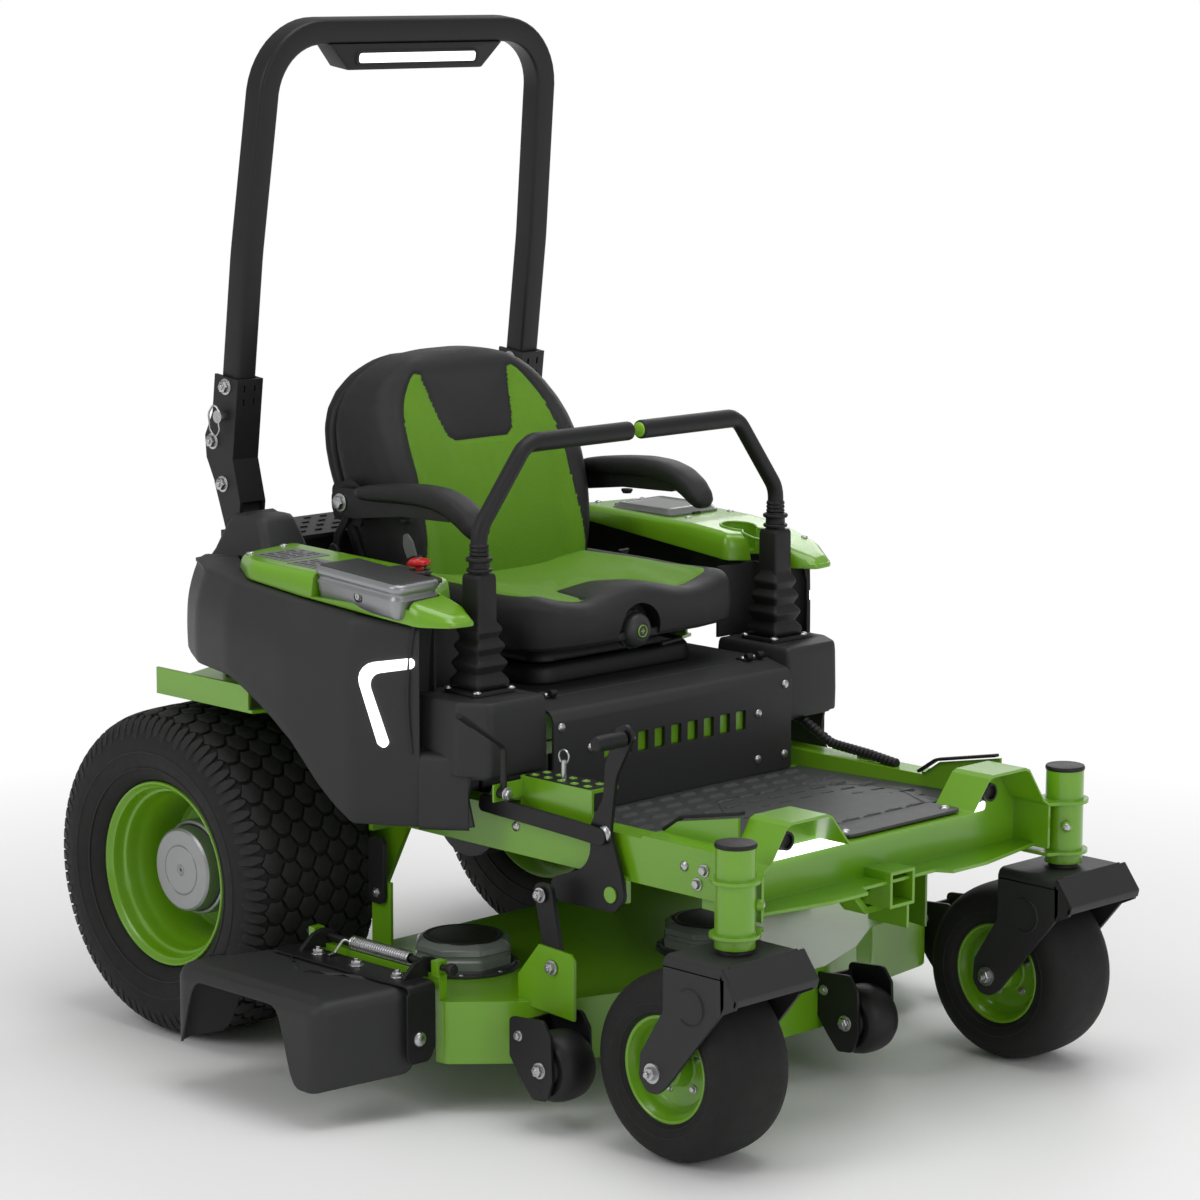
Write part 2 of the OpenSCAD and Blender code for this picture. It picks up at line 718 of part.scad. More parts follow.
module rim() {
  spun([[30, 496], [30, 504], [124, 504], [134, 510], [141, 524], [143, 588], [150, 600],
    [rear_lip_r, 600], [rear_lip_r, 593], [154, 590], [150, 582], [150, 360],
    [rear_lip_r - 4, 352], [rear_lip_r - 4, 345], [146, 345], [143, 352], [143, 484],
    [134, 496]]);
}
module rear_rim_r() color(green) centred() mirrored() rim();
module rear_rim_l() color(green) centred() rim();

// hollow tyre; inner and outer are its sidewalls' x
module tyre() {
  inner = rear_track_half - rear_tyre_w / 2;
  outer = rear_track_half + rear_tyre_w / 2;
  r = rear_tyre_r;
  lip = rear_lip_r;
  spun([
    // outside, from the inner bead over the tread to the outer bead
    [lip + 0.5, inner + 22], [r - 100, inner + 4], [r - 60, inner], [r - 26, inner + 3],
    [r - 7, inner + 20], [r, inner + 50], [r, outer - 50], [r - 7, outer - 20],
    [r - 26, outer - 3], [r - 60, outer], [r - 100, outer - 5], [lip + 0.5, outer - 24],
    // inside, back again
    [lip + 0.5, 592.2], [154.6, 589.2], [150.6, 582.5], [150.6, outer - 48],
    [r - 40, outer - 16], [r - 14, outer - 50], [r - 14, inner + 50], [r - 40, inner + 16],
    [150.6, inner + 46], [150.6, 360.6], [lip - 3.5, 352.7], [lip - 3.5, inner + 22]]);
}
module rear_tyre_r() color(black) centred() mirrored() tyre();
module rear_tyre_l() color(black) centred() tyre();

// ---- casters ----
fork_half = 96; // outside half width of a fork
// fork leg in the swivel's frame, with the axle eye at its low back end: [y, z]
fork_leg = [[68, 362], [68, 270], [118, caster_axle_z + 26], [120, caster_axle_z - 10],
  [104, caster_axle_z - 34], [78, caster_axle_z - 34], [62, caster_axle_z - 20], [-60, 286],
  [-93, 304], [-96, 316], [-62, 362]];
module fork(x) translate([x, -caster_y, 0]) {
  difference() {
    union() {
      box([-fork_half, fork_half], [-62, 68], [354, 362]);
      slab_x([-fork_half, -89], fork_leg);
      slab_x([89, fork_half], fork_leg);
      slab_x([-fork_half, fork_half], [[-62, 362], [-62, 354], [-88, 318], [-86, 308],
        [-93, 304], [-96, 316]]);
      rod_z(0, 0, [362, 369.5], 26);
      rod_z(0, 0, [362, 532], stem_r);
    }
    rod_x([-110, 110], caster_trail, caster_axle_z, caster_axle_r);
  }
}
module caster_fork_r() color(charcoal) centred() fork(-caster_x);
module caster_fork_l() color(charcoal) centred() fork(caster_x);

module at_caster(x) { translate([x, caster_axle_y, caster_axle_z]) children(); }
module caster_axle(x) at_caster(x) {
  rod_x([-108, 108], 0, 0, caster_axle_r);
  both() {
    rod_x([fork_half, 99], 0, 0, 17);
    translate([99, 0, 0]) rotate([0, 90, 0]) cylinder(r = 14, h = 9, $fn = 6);
  }
}
module caster_axle_r() color(zinc) centred() caster_axle(-caster_x);
module caster_axle_l() color(zinc) centred() caster_axle(caster_x);

// rim section: [radius, x from the wheel's middle]
module caster_rim(x) at_caster(x) {
  bore = caster_axle_r + run_gap;
  rotate([0, 90, 0]) rotate_extrude($fn = 72) polygon([[bore, -86], [22, -86], [22, -8],
    [64, -8], [70, -40], [74, -62], [88, -66], [88, -72], [92, -72], [92, -60], [80, -54],
    [80, 54], [92, 60], [92, 72], [88, 72], [88, 66], [74, 62], [70, 40], [64, 8], [22, 8],
    [22, 86], [bore, 86]]);
}
module caster_rim_r() color(green) centred() caster_rim(-caster_x);
module caster_rim_l() color(green) centred() caster_rim(caster_x);

// tyre section: [radius, x from the wheel's middle]
module caster_tyre(x) at_caster(x) {
  r = caster_tyre_r;
  half = caster_tyre_w / 2;
  rotate([0, 90, 0]) rotate_extrude($fn = 96) polygon([[93, -half + 12], [110, -half + 2],
    [130, -half], [r - 12, -half + 9], [r - 3, -half + 26], [r, -half + 50], [r, half - 50],
    [r - 3, half - 26], [r - 12, half - 9], [130, half], [110, half - 2], [93, half - 12],
    [93, 56], [82, 52], [82, -52], [93, -56]]);
}
module caster_tyre_r() color(black) centred() caster_tyre(-caster_x);
module caster_tyre_l() color(black) centred() caster_tyre(caster_x);

// ---- steering levers ----
lever_pin_z = 934; // cross pin joining tube and base
lever_pin_r = 4;
lever_ear_r = 12;
post_half = 13; // half side of the square lever post

module lever_base() translate([lever_x, -lever_y, 0]) {
  box([-post_half, post_half], [-post_half, post_half], [640, 900]);
  rod_x([-26, 26], 0, 640, 9);
  box([-20, 20], [-20, 20], [846, 896]);
  rod_z(0, 0, [896, 921], 21);
  // fork ears and their cross pin
  for (y = [-14, 6.2]) {
    box([-12, 12], [y, y + 7.8], [915, lever_pin_z]);
    rod_y(0, [y, y + 7.8], lever_pin_z, lever_ear_r);
  }
  rod_y(0, [-16, 16], lever_pin_z, lever_pin_r);
}
module lever_base_r() color(black) centred() mirrored() lever_base();
module lever_base_l() color(black) centred() lever_base();

// square bellows of four tapered folds
module boot() translate([lever_x, -lever_y, 0]) difference() {
  bore = post_half + 0.2;
  union() {
    for (i = [0:3]) translate([0, 0, 708 + i * 30]) rotate([0, 0, 45])
      cylinder(r1 = (38 - i * 3) * 1.414, r2 = (31 - i * 3) * 1.414, h = 30, $fn = 4);
    box([-24, 24], [-24, 24], [828, 846]);
  }
  box([-bore, bore], [-bore, bore], [700, 850]);
}
module lever_boot_r() color(black) centred() mirrored() boot();
module lever_boot_l() color(black) centred() boot();

module lever_tube() {
  foot = [lever_x, -lever_y, 947.5];
  lower_bend = [lever_x, -lever_y, 961];
  upper_bend = [268, -602, grip_z];
  grip_end = [12, -602, grip_z];
  eye_ys = [-lever_y - 6, -lever_y + 6];
  bar(foot, lower_bend, lever_r);
  translate(lower_bend) sphere(r = lever_r + 0.8, $fn = 32);
  bar(lower_bend, upper_bend, lever_r);
  translate(upper_bend) sphere(r = lever_r + 2.3, $fn = 32);
  bar(grip_end, upper_bend, lever_r + 1.5);
  // eye between the base's ears
  difference() {
    union() {
      rod_y(lever_x, eye_ys, lever_pin_z, lever_ear_r);
      box([lever_x - 11, lever_x + 11], eye_ys, [lever_pin_z, 948]);
    }
    rod_y(lever_x, [-lever_y - 10, -lever_y + 10], lever_pin_z, lever_pin_r + run_gap);
  }
}
module lever_tube_r() color(black) centred() mirrored() lever_tube();
module lever_tube_l() color(black) centred() lever_tube();

// ---- seat ----
arm_y = -136; // armrest pivot
knob_z = 764;
knob_shaft_r = 9;

module seat_suspension() color(black) centred() {
  difference() {
    box([-190, 190], [-552, -158], [713, 735]);
    box([-150, 150], [-515, -195], [700, 740]);
  }
  both() box([153, 167], [-545, -165], [735, 741]);
  box([-150, 150], [-370, -340], [718, 728]);
}

// left half outlines, widened across(): plan corners [x, y, radius] don't mirror a radius
pan_corners = [[-seat_hw, -110, 40], [seat_hw, -110, 40], [seat_hw + 2, -520, 90],
  [205, -622, 60], [-205, -622, 60], [-seat_hw - 2, -520, 90]];
pan_base_corners = [[-238, -250, 20], [238, -250, 20], [238, -520, 70], [190, -598, 50],
  [-190, -598, 50], [-238, -520, 70]];
cushion_corners = [[-240, -270, 20], [240, -270, 20], [seat_hw - 2, -520, 80],
  [195, -616, 60], [-195, -616, 60], [-seat_hw + 2, -520, 80]];
// front views of the back shell and its cushion: [x, z, radius]
back_corners = [[-225, 740, 0], [225, 740, 0], [back_hw, 900, 120],
  [back_hw - 8, 1060, 120], [170, back_top, 110], [-170, back_top, 110],
  [-back_hw + 8, 1060, 120], [-back_hw, 900, 120]];
back_cushion_corners = [[-195, 830, 0], [195, 830, 0], [225, 900, 100], [222, 1060, 100],
  [150, back_top - 15, 90], [-150, back_top - 15, 90], [-222, 1060, 100], [-225, 900, 100]];

module seat_shell() color(black) centred() {
  difference() {
    union() {
      // pan
      slab_z([745, 792], rounded(pan_corners));
      // back
      intersection() {
        slab_x([-280, 280], [[-252, 780], [-120, 780], [-92, 840], [-30, 1100],
          [-40, 1190], [-70, 1212], [-100, 1218], [-118, 1210], [-134, 1100]]);
        slab_y([-300, 0], rounded(back_corners));
      }
      // armrest brackets and their pivot bolts
      both() {
        box([225, 272], [-160, -112], [935, 985]);
        rod_x([272, 290], arm_y, arm_z, arm_pin_r);
        rod_x([290, 294], arm_y, arm_z, 13);
      }
      // belt latch
      translate([-seat_hw, -330, 850]) rotate([-14, 0, 0]) {
        box([-14, -2], [-16, 16], [-72, 20]);
        box([-10, -7], [-9, 9], [20, 62]);
      }
      box([-274.5, -262], [-345, -300], [765, 790]);
    }
    slab_z([730, 784], rounded(pan_base_corners));
    rod_y(0, [-630, -590], knob_z, knob_shaft_r + run_gap);
  }
  both() box([150, 170], [-560, -160], [741.5, 790]);
}
module seat_cushion() color(green) centred() slab_z([792.5, seat_top], rounded(cushion_corners));
module back_cushion() color(green) centred() intersection() {
  slab_x([-280, 280], [[-253.5, 839], [-231, 839], [-134.8, 1101], [-119.5, 1206],
    [-140, 1206], [-170, 1120], [-215, 1040], [-245, 960], [-268, 900]]);
  slab_y([-400, 0], rounded(back_cushion_corners));
}
module armrest() {
  arm_xs = [276, 286];
  difference() {
    union() {
      rod_x(arm_xs, arm_y, arm_z, 26);
      slab_x(arm_xs, [[arm_y, arm_z - 22], [arm_y, arm_z + 24], [-300, 992], [-480, 980],
        [-480, 972], [-300, 966]]);
      slab_y([-505, -190],
        rounded([[256, 980, 10], [312, 980, 10], [314, 1006, 12], [254, 1006, 12]]));
    }
    rod_x([270, 320], arm_y, arm_z, arm_pin_r + run_gap);
  }
}
module armrest_r() color(black) centred() mirrored() armrest();
module armrest_l() color(black) centred() armrest();
module seat_knob() color([0.35, 0.35, 0.36]) centred() {
  rod_y(0, [-624, -596], knob_z, knob_shaft_r);
  // tapered head with twelve grip flutes
  translate([0, -623, knob_z]) rotate([90, 0, 0]) difference() {
    cylinder(r1 = 30, r2 = 27, h = 24);
    for (i = [0:11]) rotate([0, 0, 30 * i]) translate([31, 0, 4]) cylinder(r = 3.2, h = 30);
  }
}

// ---- deck ----
// plan view of the deck: [x, y, radius]
deck_corners = [[-562, -345, 10], [-562, -715, 20], [-425, -840, 60], [-300, -880, 60],
  [-170, -975, 60], [-60, -1008, 60], [70, -1008, 60], [215, -955, 60], [335, -885, 60],
  [520, -862, 70], [632, -720, 90], [640, -480, 60], [560, -345, 40]];
// hanger pins, low front, high front and rear: [y, z]
front_pin = [-864, 266];
high_pin = [-832, 385];
rear_pin = [-372, 300];
pin_r = 6;
front_hang_x = 452;
rear_hang_x = 402;
// chute hinge rod
hinge_x = -554;
hinge_z = 253;
spindle_r = 12;
boss_r = 24;

// foot of a spindle, counted -1 (right) to 1 (left)
function blade_spot(i) =
  [deck_x + i * blade_step, i == 0 ? -blade_y_mid : -blade_y_out, 0];
// hanger pin or hole reaching `reach` each side of x
module hanger_pin(x, reach, pin) { rod_x([x - reach, x + reach], pin[0], pin[1], pin_r); }

module deck_shell() color(green) centred() difference() {
  union() {
    slab_z([deck_z0, deck_z1], rounded(deck_corners));
    // raised rail along the discharge side
    box([-562, -545], [-700, -360], [deck_z1 - 10, 240.5]);
    // front and rear hanger brackets
    for (s = [-1, 1]) {
      slab_x([s * front_hang_x - 3, s * front_hang_x + 3], [[-780, 190], [-915, 182],
        [-915, 285], [-905, 296], [-830, 300], [-780, 240]]);
      slab_x([s * rear_hang_x - 3, s * rear_hang_x + 3],
        [[-400, 190], [-350, 190], [-350, 320], [-400, 320]]);
    }
    // lugs for the chute's hinge rod
    for (y = [-690, -372])
      slab_x([-565, -543], [[y - 8, 236], [y + 8, 236], [y + 8, 264], [y - 8, 264]]);
  }
  // hollow underside
  translate([0, 0, -6]) slab_z([deck_z0, deck_z1], rounded(
    [for (p = deck_corners) [(p[0] - 35) * 0.985 + 35, (p[1] + 650) * 0.975 - 650, p[2]]]));
  // discharge opening
  box([-600, -540], [-690, -365], [deck_z0 - 10, 176]);
  for (i = [-1:1]) {
    spot = blade_spot(i);
    rod_z(spot[0], spot[1], [150, 260], boss_r);
  }
  for (s = [-1, 1]) {
    hanger_pin(s * front_hang_x, 10, front_pin);
    hanger_pin(s * rear_hang_x, 10, rear_pin);
  }
  for (y = [-690, -372]) rod_y(hinge_x, [y - 12, y + 12], hinge_z, pin_r);
}
module deck_motors() color([0.3, 0.31, 0.31]) centred()
  for (i = [-1:1]) translate(blade_spot(i)) difference() {
    union() {
      rod_z(0, 0, [deck_z1, 205], 96);
      translate([0, 0, 205]) rotate([0, 0, 22.5]) cylinder(r = 88, h = 34, $fn = 8);
      translate([0, 0, 236]) rotate([0, 0, 22.5]) cylinder(r1 = 87, r2 = 62, h = 16, $fn = 8);
      rod_z(0, 0, [160, deck_z1], boss_r);
    }
    rod_z(0, 0, [150, 225], spindle_r + run_gap);
  }

// spindle with a flat blade whose tips rise, trimmed to the swept circle
module blade(i) translate(blade_spot(i)) {
  reach = blade_reach;
  rod_z(0, 0, [112, 220], spindle_r);
  rod_z(0, 0, [112, 150], 26);
  intersection() {
    rotate([0, 0, 20 + 35 * i]) {
      slab_z([118, 123], [[-reach, -28], [-reach, 28], [reach, 28], [reach, -28]]);
      slab_y([14, 28], [[-reach, 120], [-reach, 142], [-120, 123], [-120, 120]]);
      slab_y([-28, -14], [[reach, 120], [reach, 142], [120, 123], [120, 120]]);
    }
    rod_z(0, 0, [100, 160], reach);
  }
  translate([0, 0, 106]) cylinder(r = 16, h = 6, $fn = 6);
}
module blade_r() color(zinc) centred() blade(-1);
module blade_m() color(zinc) centred() blade(0);
module blade_l() color(zinc) centred() blade(1);

roller_axle_r = 8;
module roller(spot) translate([spot[0], spot[1], roller_z]) rotate([0, 90, 0]) {
  bore = roller_axle_r + run_gap;
  rotate_extrude($fn = 64) polygon([[bore, -39], [26, -39], [30, -24], [50, -38], [58, -24],
    [roller_r, 0], [58, 24], [50, 38], [30, 24], [26, 39], [bore, 39]]);
}
module roller_r() color(black) centred() roller(roller_spots[0]);
module roller_m() color(black) centred() roller(roller_spots[1]);
module roller_l() color(black) centred() roller(roller_spots[2]);

// roller bracket cheek, from the roller's middle: [y, z]
roller_cheek = [[72, 190], [-10, 196], [-26, 170], [-30, 96], [-18, 62], [14, 58], [40, 84],
  [72, 120]];
module roller_bracket(spot) translate([spot[0], spot[1], 0]) {
  difference() {
    union() {
      slab_x([-48, -42], roller_cheek);
      slab_x([42, 48], roller_cheek);
      box([-48, 48], [64, 70], [124, 178]);
      rod_x([-roller_axle_half, roller_axle_half], 0, roller_z, roller_axle_r);
      rod_x([-42, -39], 0, roller_z, 13);
      rod_x([39, 42], 0, roller_z, 13);
    }
    for (s = [-1, 1]) for (z = [88, 72])
      box([s * 45 - 5, s * 45 + 5], [-6, 6], [z - 5, z + 5]);
  }
}
module deck_brackets() color(black) centred() {
  for (spot = roller_spots) difference() {
    roller_bracket(spot);
    slab_z([deck_z0 - 1, deck_z1 + 0.02], rounded(deck_corners));
  }
  // straps hanging the deck from the frame
  for (s = [-1, 1]) {
    front_x = s * 444;
    rear_x = s * 410;
    difference() {
      slab_x([front_x - 4.5, front_x + 4.5],
        [[-851, 240], [-883, 240], [-848, 400], [-812, 400]]);
      hanger_pin(front_x, 10, front_pin);
      hanger_pin(front_x, 10, high_pin);
    }
    difference() {
      slab_x([rear_x - 4.5, rear_x + 4.5],
        [[-355, 285], [-390, 285], [-390, 395], [-355, 395]]);
      hanger_pin(rear_x, 10, rear_pin);
    }
  }
}
module deck_hardware() color(zinc) centred() {
  // chute hinge rod and the sleeve round it
  rod_y(hinge_x, [-712, -350], hinge_z, pin_r);
  difference() {
    rod_y(hinge_x, [-600, -470], hinge_z, 12);
    rod_y(hinge_x, [-601, -469], hinge_z, 9.5);
  }
  for (s = [-1, 1]) {
    hanger_pin(s * front_hang_x, 16, front_pin);
    hanger_pin(s * 448, 12, high_pin);
    rod_x([s * rear_hang_x - 14, s * rear_hang_x + 18], rear_pin[0], rear_pin[1], pin_r);
  }
}

module chute_top() {
  slab_z([226, 231], [[-572, -372], [-572, -690], [-620, -705], [-640, -705], [-640, -330],
    [-600, -345]]);
  intersection() {
    slab_y([-720, -210], [[-576, 227], [-640, 227], [-770, 214], [-chute_x, 200],
      [-chute_x, 192], [-768, 208], [-640, 220], [-576, 220]]);
    slab_z([150, 260], [[-570, -700], [-chute_x, -640], [-chute_x, -232], [-640, -318],
      [-570, -350]]);
  }
}
module chute_flanges() {
  intersection() {
    slab_y([-720, -220], [[-592, 221], [-770, 209], [-784, 196], [-770, 80], [-740, 66],
      [-610, 70], [-592, 90]]);
    union() {
      slab_z([50, 260], [[-592, -699], [-chute_x, -640], [-chute_x, -634], [-592, -693]]);
      slab_z([50, 260], [[-592, -343], [-640, -318], [-chute_x, -232], [-chute_x, -240],
        [-642, -326], [-592, -351]]);
    }
  }
}
module chute() color(black) centred() difference() {
  union() {
    chute_top();
    chute_flanges();
    // hinge lugs
    for (y = [-667, -402]) {
      difference() {
        slab_x([-614, -554], [[y - 4, 231], [y + 4, 231], [y + 4, 265], [y - 4, 265]]);
        slab_y([-800, 0], [[-620, 245], [-590, 270], [-620, 270]]);
      }
      rod_y(hinge_x, [y - 4, y + 4], hinge_z, 12);
    }
  }
  rod_y(hinge_x, [-800, -200], hinge_z, pin_r + run_gap);
  box([-575, -530], [-800, -200], [150, 243.5]);
}

// ---- deck lift ----
rocker_outline = [[-1000, 672], [-985, 690], [-962, 684], [-955, 660], [-935, 620],
  [-930, 560], [-898, 505], [-905, 440], [-808, 400], [-808, 372], [-830, 366], [-955, 370],
  [-980, 395], [-970, 440], [-945, 500], [-960, 600]]; // [y, z]
module lift_rocker() color(black) centred() difference() {
  union() {
    slab_x([-403, -395], rocker_outline);
    rod_x([-470, -403], -980, 668, 8);
    rod_x([-476, -470], -980, 668, 13);
  }
  rod_x([-420, -380], rocker_y, rocker_z, rocker_pin_r + run_gap);
}
module lift_bar() color(black) centred() slab_x([-413, -406],
  rounded([[-940, 480, 10], [-940, 508, 10], [-640, 522, 6], [-640, 494, 6]]));
module lock_lever() color(black) centred() {
  slab_y([-736, -722], [[-443, 535], [-437, 535], [-437, 622], [-540, 690], [-544, 684],
    [-443, 618]]);
  rod_y(lock_x, [-738, -706], lock_z, lock_pin_r);
}

main_frame();
led_strips();
side_cowl_r();
side_cowl_l();
knee_panel();
seat_plate();
foot_plate();
console_r();
console_l();
control_housing();
stop_button();
storage_lid();
rops_posts();
frame_hardware();
rops_hoop();
rops_light();
rear_cover();
battery_pack();
drive_motors();
wheel_hub_r();
wheel_hub_l();
rear_rim_r();
rear_rim_l();
rear_tyre_r();
rear_tyre_l();
caster_fork_r();
caster_fork_l();
caster_axle_r();
caster_axle_l();
caster_rim_r();
caster_rim_l();
caster_tyre_r();
caster_tyre_l();
lever_base_r();
lever_base_l();
lever_tube_r();
lever_tube_l();
lever_boot_r();
lever_boot_l();
seat_suspension();
seat_shell();
seat_cushion();
back_cushion();
armrest_r();
armrest_l();
seat_knob();
deck_shell();
deck_motors();
deck_brackets();
deck_hardware();
blade_r();
blade_m();
blade_l();
roller_r();
roller_m();
roller_l();
chute();
lift_rocker();
lift_bar();
lock_lever();
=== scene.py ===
"""A ride-on mower: looks built over its CAD pieces, with a white studio round it.

Shapes are drawn in millimetres in the machine frame: +X is the machine's left, -Y its front,
+Z up. Its origin is on the floor, on the centreline, under the rear axle. make() turns
millimetres into metres and shifts the shape into the scene.
"""
import math

import bmesh
import bpy
import numpy as np
from mathutils import Matrix, Vector

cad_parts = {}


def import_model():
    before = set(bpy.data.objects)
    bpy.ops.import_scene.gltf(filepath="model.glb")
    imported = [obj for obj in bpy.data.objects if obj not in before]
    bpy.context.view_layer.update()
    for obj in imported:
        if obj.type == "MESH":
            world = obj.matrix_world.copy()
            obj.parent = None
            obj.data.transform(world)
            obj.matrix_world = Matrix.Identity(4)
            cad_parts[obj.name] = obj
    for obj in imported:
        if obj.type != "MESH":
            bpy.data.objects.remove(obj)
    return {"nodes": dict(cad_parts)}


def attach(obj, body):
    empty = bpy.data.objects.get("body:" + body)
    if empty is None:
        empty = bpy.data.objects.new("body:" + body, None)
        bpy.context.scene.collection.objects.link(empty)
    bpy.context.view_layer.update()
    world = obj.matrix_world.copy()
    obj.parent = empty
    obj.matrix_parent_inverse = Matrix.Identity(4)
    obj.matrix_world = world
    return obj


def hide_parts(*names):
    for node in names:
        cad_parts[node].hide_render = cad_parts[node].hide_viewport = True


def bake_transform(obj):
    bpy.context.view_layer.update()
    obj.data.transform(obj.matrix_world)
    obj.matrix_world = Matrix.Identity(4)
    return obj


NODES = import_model()["nodes"]
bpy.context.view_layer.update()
scene = bpy.context.scene

SHIFT_X, SHIFT_Y = 61.0, 515.0  # machine frame to scene, millimetres
SHIFT = np.array([SHIFT_X, SHIFT_Y, 0])

# Places shared by several pieces
REAR_AXLE_Z = 300
CASTER_X, CASTER_AXLE_Y, CASTER_AXLE_Z = 423, -1162, 160
CASTER_PIVOT_Y = -1252
LEVER_X, LEVER_Y = 375, -600
KNOB_X, KNOB_Z = -17, 757
STOP_X, STOP_Y = -395, -470
ROPS_BASE_Y, ROPS_BASE_Z = 70, 1110
ROPS_LEAN = math.radians(6.8)


# ---------------------------------------------------------------- materials
MATERIALS = {}


def material(name, base, rough=0.5, metal=0.0, spec=0.5, coat=0.0, coat_rough=0.1, glow=0.0,
             grain=0.0, grain_scale=900.0, bump=0.0, bump_scale=900.0, mottle=0.0,
             mottle_scale=14.0, rough_var=0.06, edge=0.0018, weave=None, crease=0.0, dust=0.0,
             trans=0.0, sheen=0.0, scratches=0.0):
    """Adds a Principled material with procedural wear.

    grain, bump and crease are heights in metres and edge is a bevel radius in metres.
    mottle, dust, rough_var and scratches are strengths, and weave is (frequency, height).
    """
    mat = bpy.data.materials.new(name)
    mat.use_nodes = True
    tree = mat.node_tree
    tree.nodes.clear()
    new, link = tree.nodes.new, tree.links.new
    shader = new("ShaderNodeBsdfPrincipled")
    link(shader.outputs[0], new("ShaderNodeOutputMaterial").inputs[0])
    place = new("ShaderNodeTexCoord").outputs["Object"]
    for socket, value in (("Metallic", metal), ("IOR", 1.45), ("Specular IOR Level", spec),
                          ("Coat Weight", coat), ("Coat Roughness", coat_rough),
                          ("Transmission Weight", trans), ("Sheen Weight", sheen)):
        shader.inputs[socket].default_value = value
    if glow:
        shader.inputs["Emission Color"].default_value = (1, 1, 1, 1)
        shader.inputs["Emission Strength"].default_value = glow

    def feed(socket, value):
        """Links a socket, or stores a number or a colour."""
        if isinstance(value, tuple):
            socket.default_value = (*value, 1)
        elif isinstance(value, (int, float)):
            socket.default_value = value
        else:
            link(value, socket)

    def noise(scale, detail=3.0, roughness=0.5, vector=place):
        node = new("ShaderNodeTexNoise")
        node.inputs["Scale"].default_value = scale
        node.inputs["Detail"].default_value = detail
        node.inputs["Roughness"].default_value = roughness
        link(vector, node.inputs["Vector"])
        return node.outputs

    def calc(operation, first, second=None, clamp=False):
        node = new("ShaderNodeMath")
        node.operation = operation
        node.use_clamp = clamp
        feed(node.inputs[0], first)
        if second is not None:
            feed(node.inputs[1], second)
        return node.outputs[0]

    def mix(factor, colour_a, colour_b):
        node = new("ShaderNodeMix")
        node.data_type = "RGBA"
        for index, value in ((0, factor), (6, colour_a), (7, colour_b)):
            feed(node.inputs[index], value)
        return node.outputs[2]

    colour = base
    if mottle:
        patches = calc("SUBTRACT", noise(mottle_scale, 4.0, 0.6)[0], 0.35, clamp=True)
        amount = calc("MULTIPLY", patches, 2.2 * mottle, clamp=True)
        colour = mix(amount, base, tuple(x * 0.72 for x in base))
    if dust:  # lighter on convex edges
        ramp = new("ShaderNodeValToRGB")
        ramp.color_ramp.elements[0].position = 0.50
        ramp.color_ramp.elements[1].position = 0.60
        link(new("ShaderNodeNewGeometry").outputs["Pointiness"], ramp.inputs[0])
        amount = calc("MULTIPLY", ramp.outputs[0], calc("MULTIPLY", noise(60, 5.0, 0.7)[0], dust))
        colour = mix(amount, colour, tuple(min(1, x * 2.2 + 0.05) for x in base))
    feed(shader.inputs["Base Color"], colour)

    swing = calc("SUBTRACT", noise(38, 4.0, 0.65)[0], 0.5)
    roughness = calc("ADD", calc("MULTIPLY", swing, rough_var * 2), rough)
    if scratches:
        stretch = new("ShaderNodeMapping")
        stretch.inputs["Scale"].default_value = (1, 14, 1)
        link(place, stretch.inputs[0])
        lines = calc("SUBTRACT", noise(60, 8, vector=stretch.outputs[0])[0], 0.5)
        roughness = calc("ADD", roughness, calc("MULTIPLY", lines, scratches))
    link(roughness, shader.inputs["Roughness"])

    heights = []  # (height socket, depth in metres)
    if grain:
        heights.append((noise(grain_scale, 2.0, 0.5)[0], grain))
    if bump:
        heights.append((noise(bump_scale, 5.0, 0.6)[0], bump))
    if crease:  # warped leather cells
        warp = new("ShaderNodeVectorMath")
        warp.operation = "SCALE"
        warp.inputs["Scale"].default_value = 0.006
        link(noise(90)["Color"], warp.inputs[0])
        warped = new("ShaderNodeVectorMath")
        warped.operation = "ADD"
        link(place, warped.inputs[0])
        link(warp.outputs[0], warped.inputs[1])
        cells = new("ShaderNodeTexVoronoi")
        cells.feature = "DISTANCE_TO_EDGE"
        cells.inputs["Scale"].default_value = 330
        link(warped.outputs[0], cells.inputs["Vector"])
        flat = calc("MINIMUM", calc("MULTIPLY", cells.outputs["Distance"], 6.0), 1.0)
        heights.append((flat, crease))
    if weave:
        frequency, depth = weave
        axes = new("ShaderNodeSeparateXYZ")
        link(place, axes.inputs[0])
        x, y, z = axes.outputs
        warp_sum = calc("ADD", x, z)
        weft_sum = calc("SUBTRACT", calc("ADD", y, z), x)
        threads = [calc("SINE", calc("MULTIPLY", q, frequency)) for q in (warp_sum, weft_sum)]
        product = calc("MULTIPLY", calc("MULTIPLY", *threads), 0.5)
        heights.append((calc("ADD", product, 0.5), depth))

    normal = None
    if edge:
        rounding = new("ShaderNodeBevel")
        rounding.samples = 4
        rounding.inputs["Radius"].default_value = edge
        normal = rounding.outputs[0]
    for height, depth in heights:
        node = new("ShaderNodeBump")
        node.inputs["Strength"].default_value = 1.0
        node.inputs["Distance"].default_value = depth
        link(height, node.inputs["Height"])
        if normal:
            link(normal, node.inputs["Normal"])
        normal = node.outputs[0]
    if normal:
        link(normal, shader.inputs["Normal"])
        if coat:
            link(normal, shader.inputs["Coat Normal"])
    MATERIALS[name] = mat
    return mat


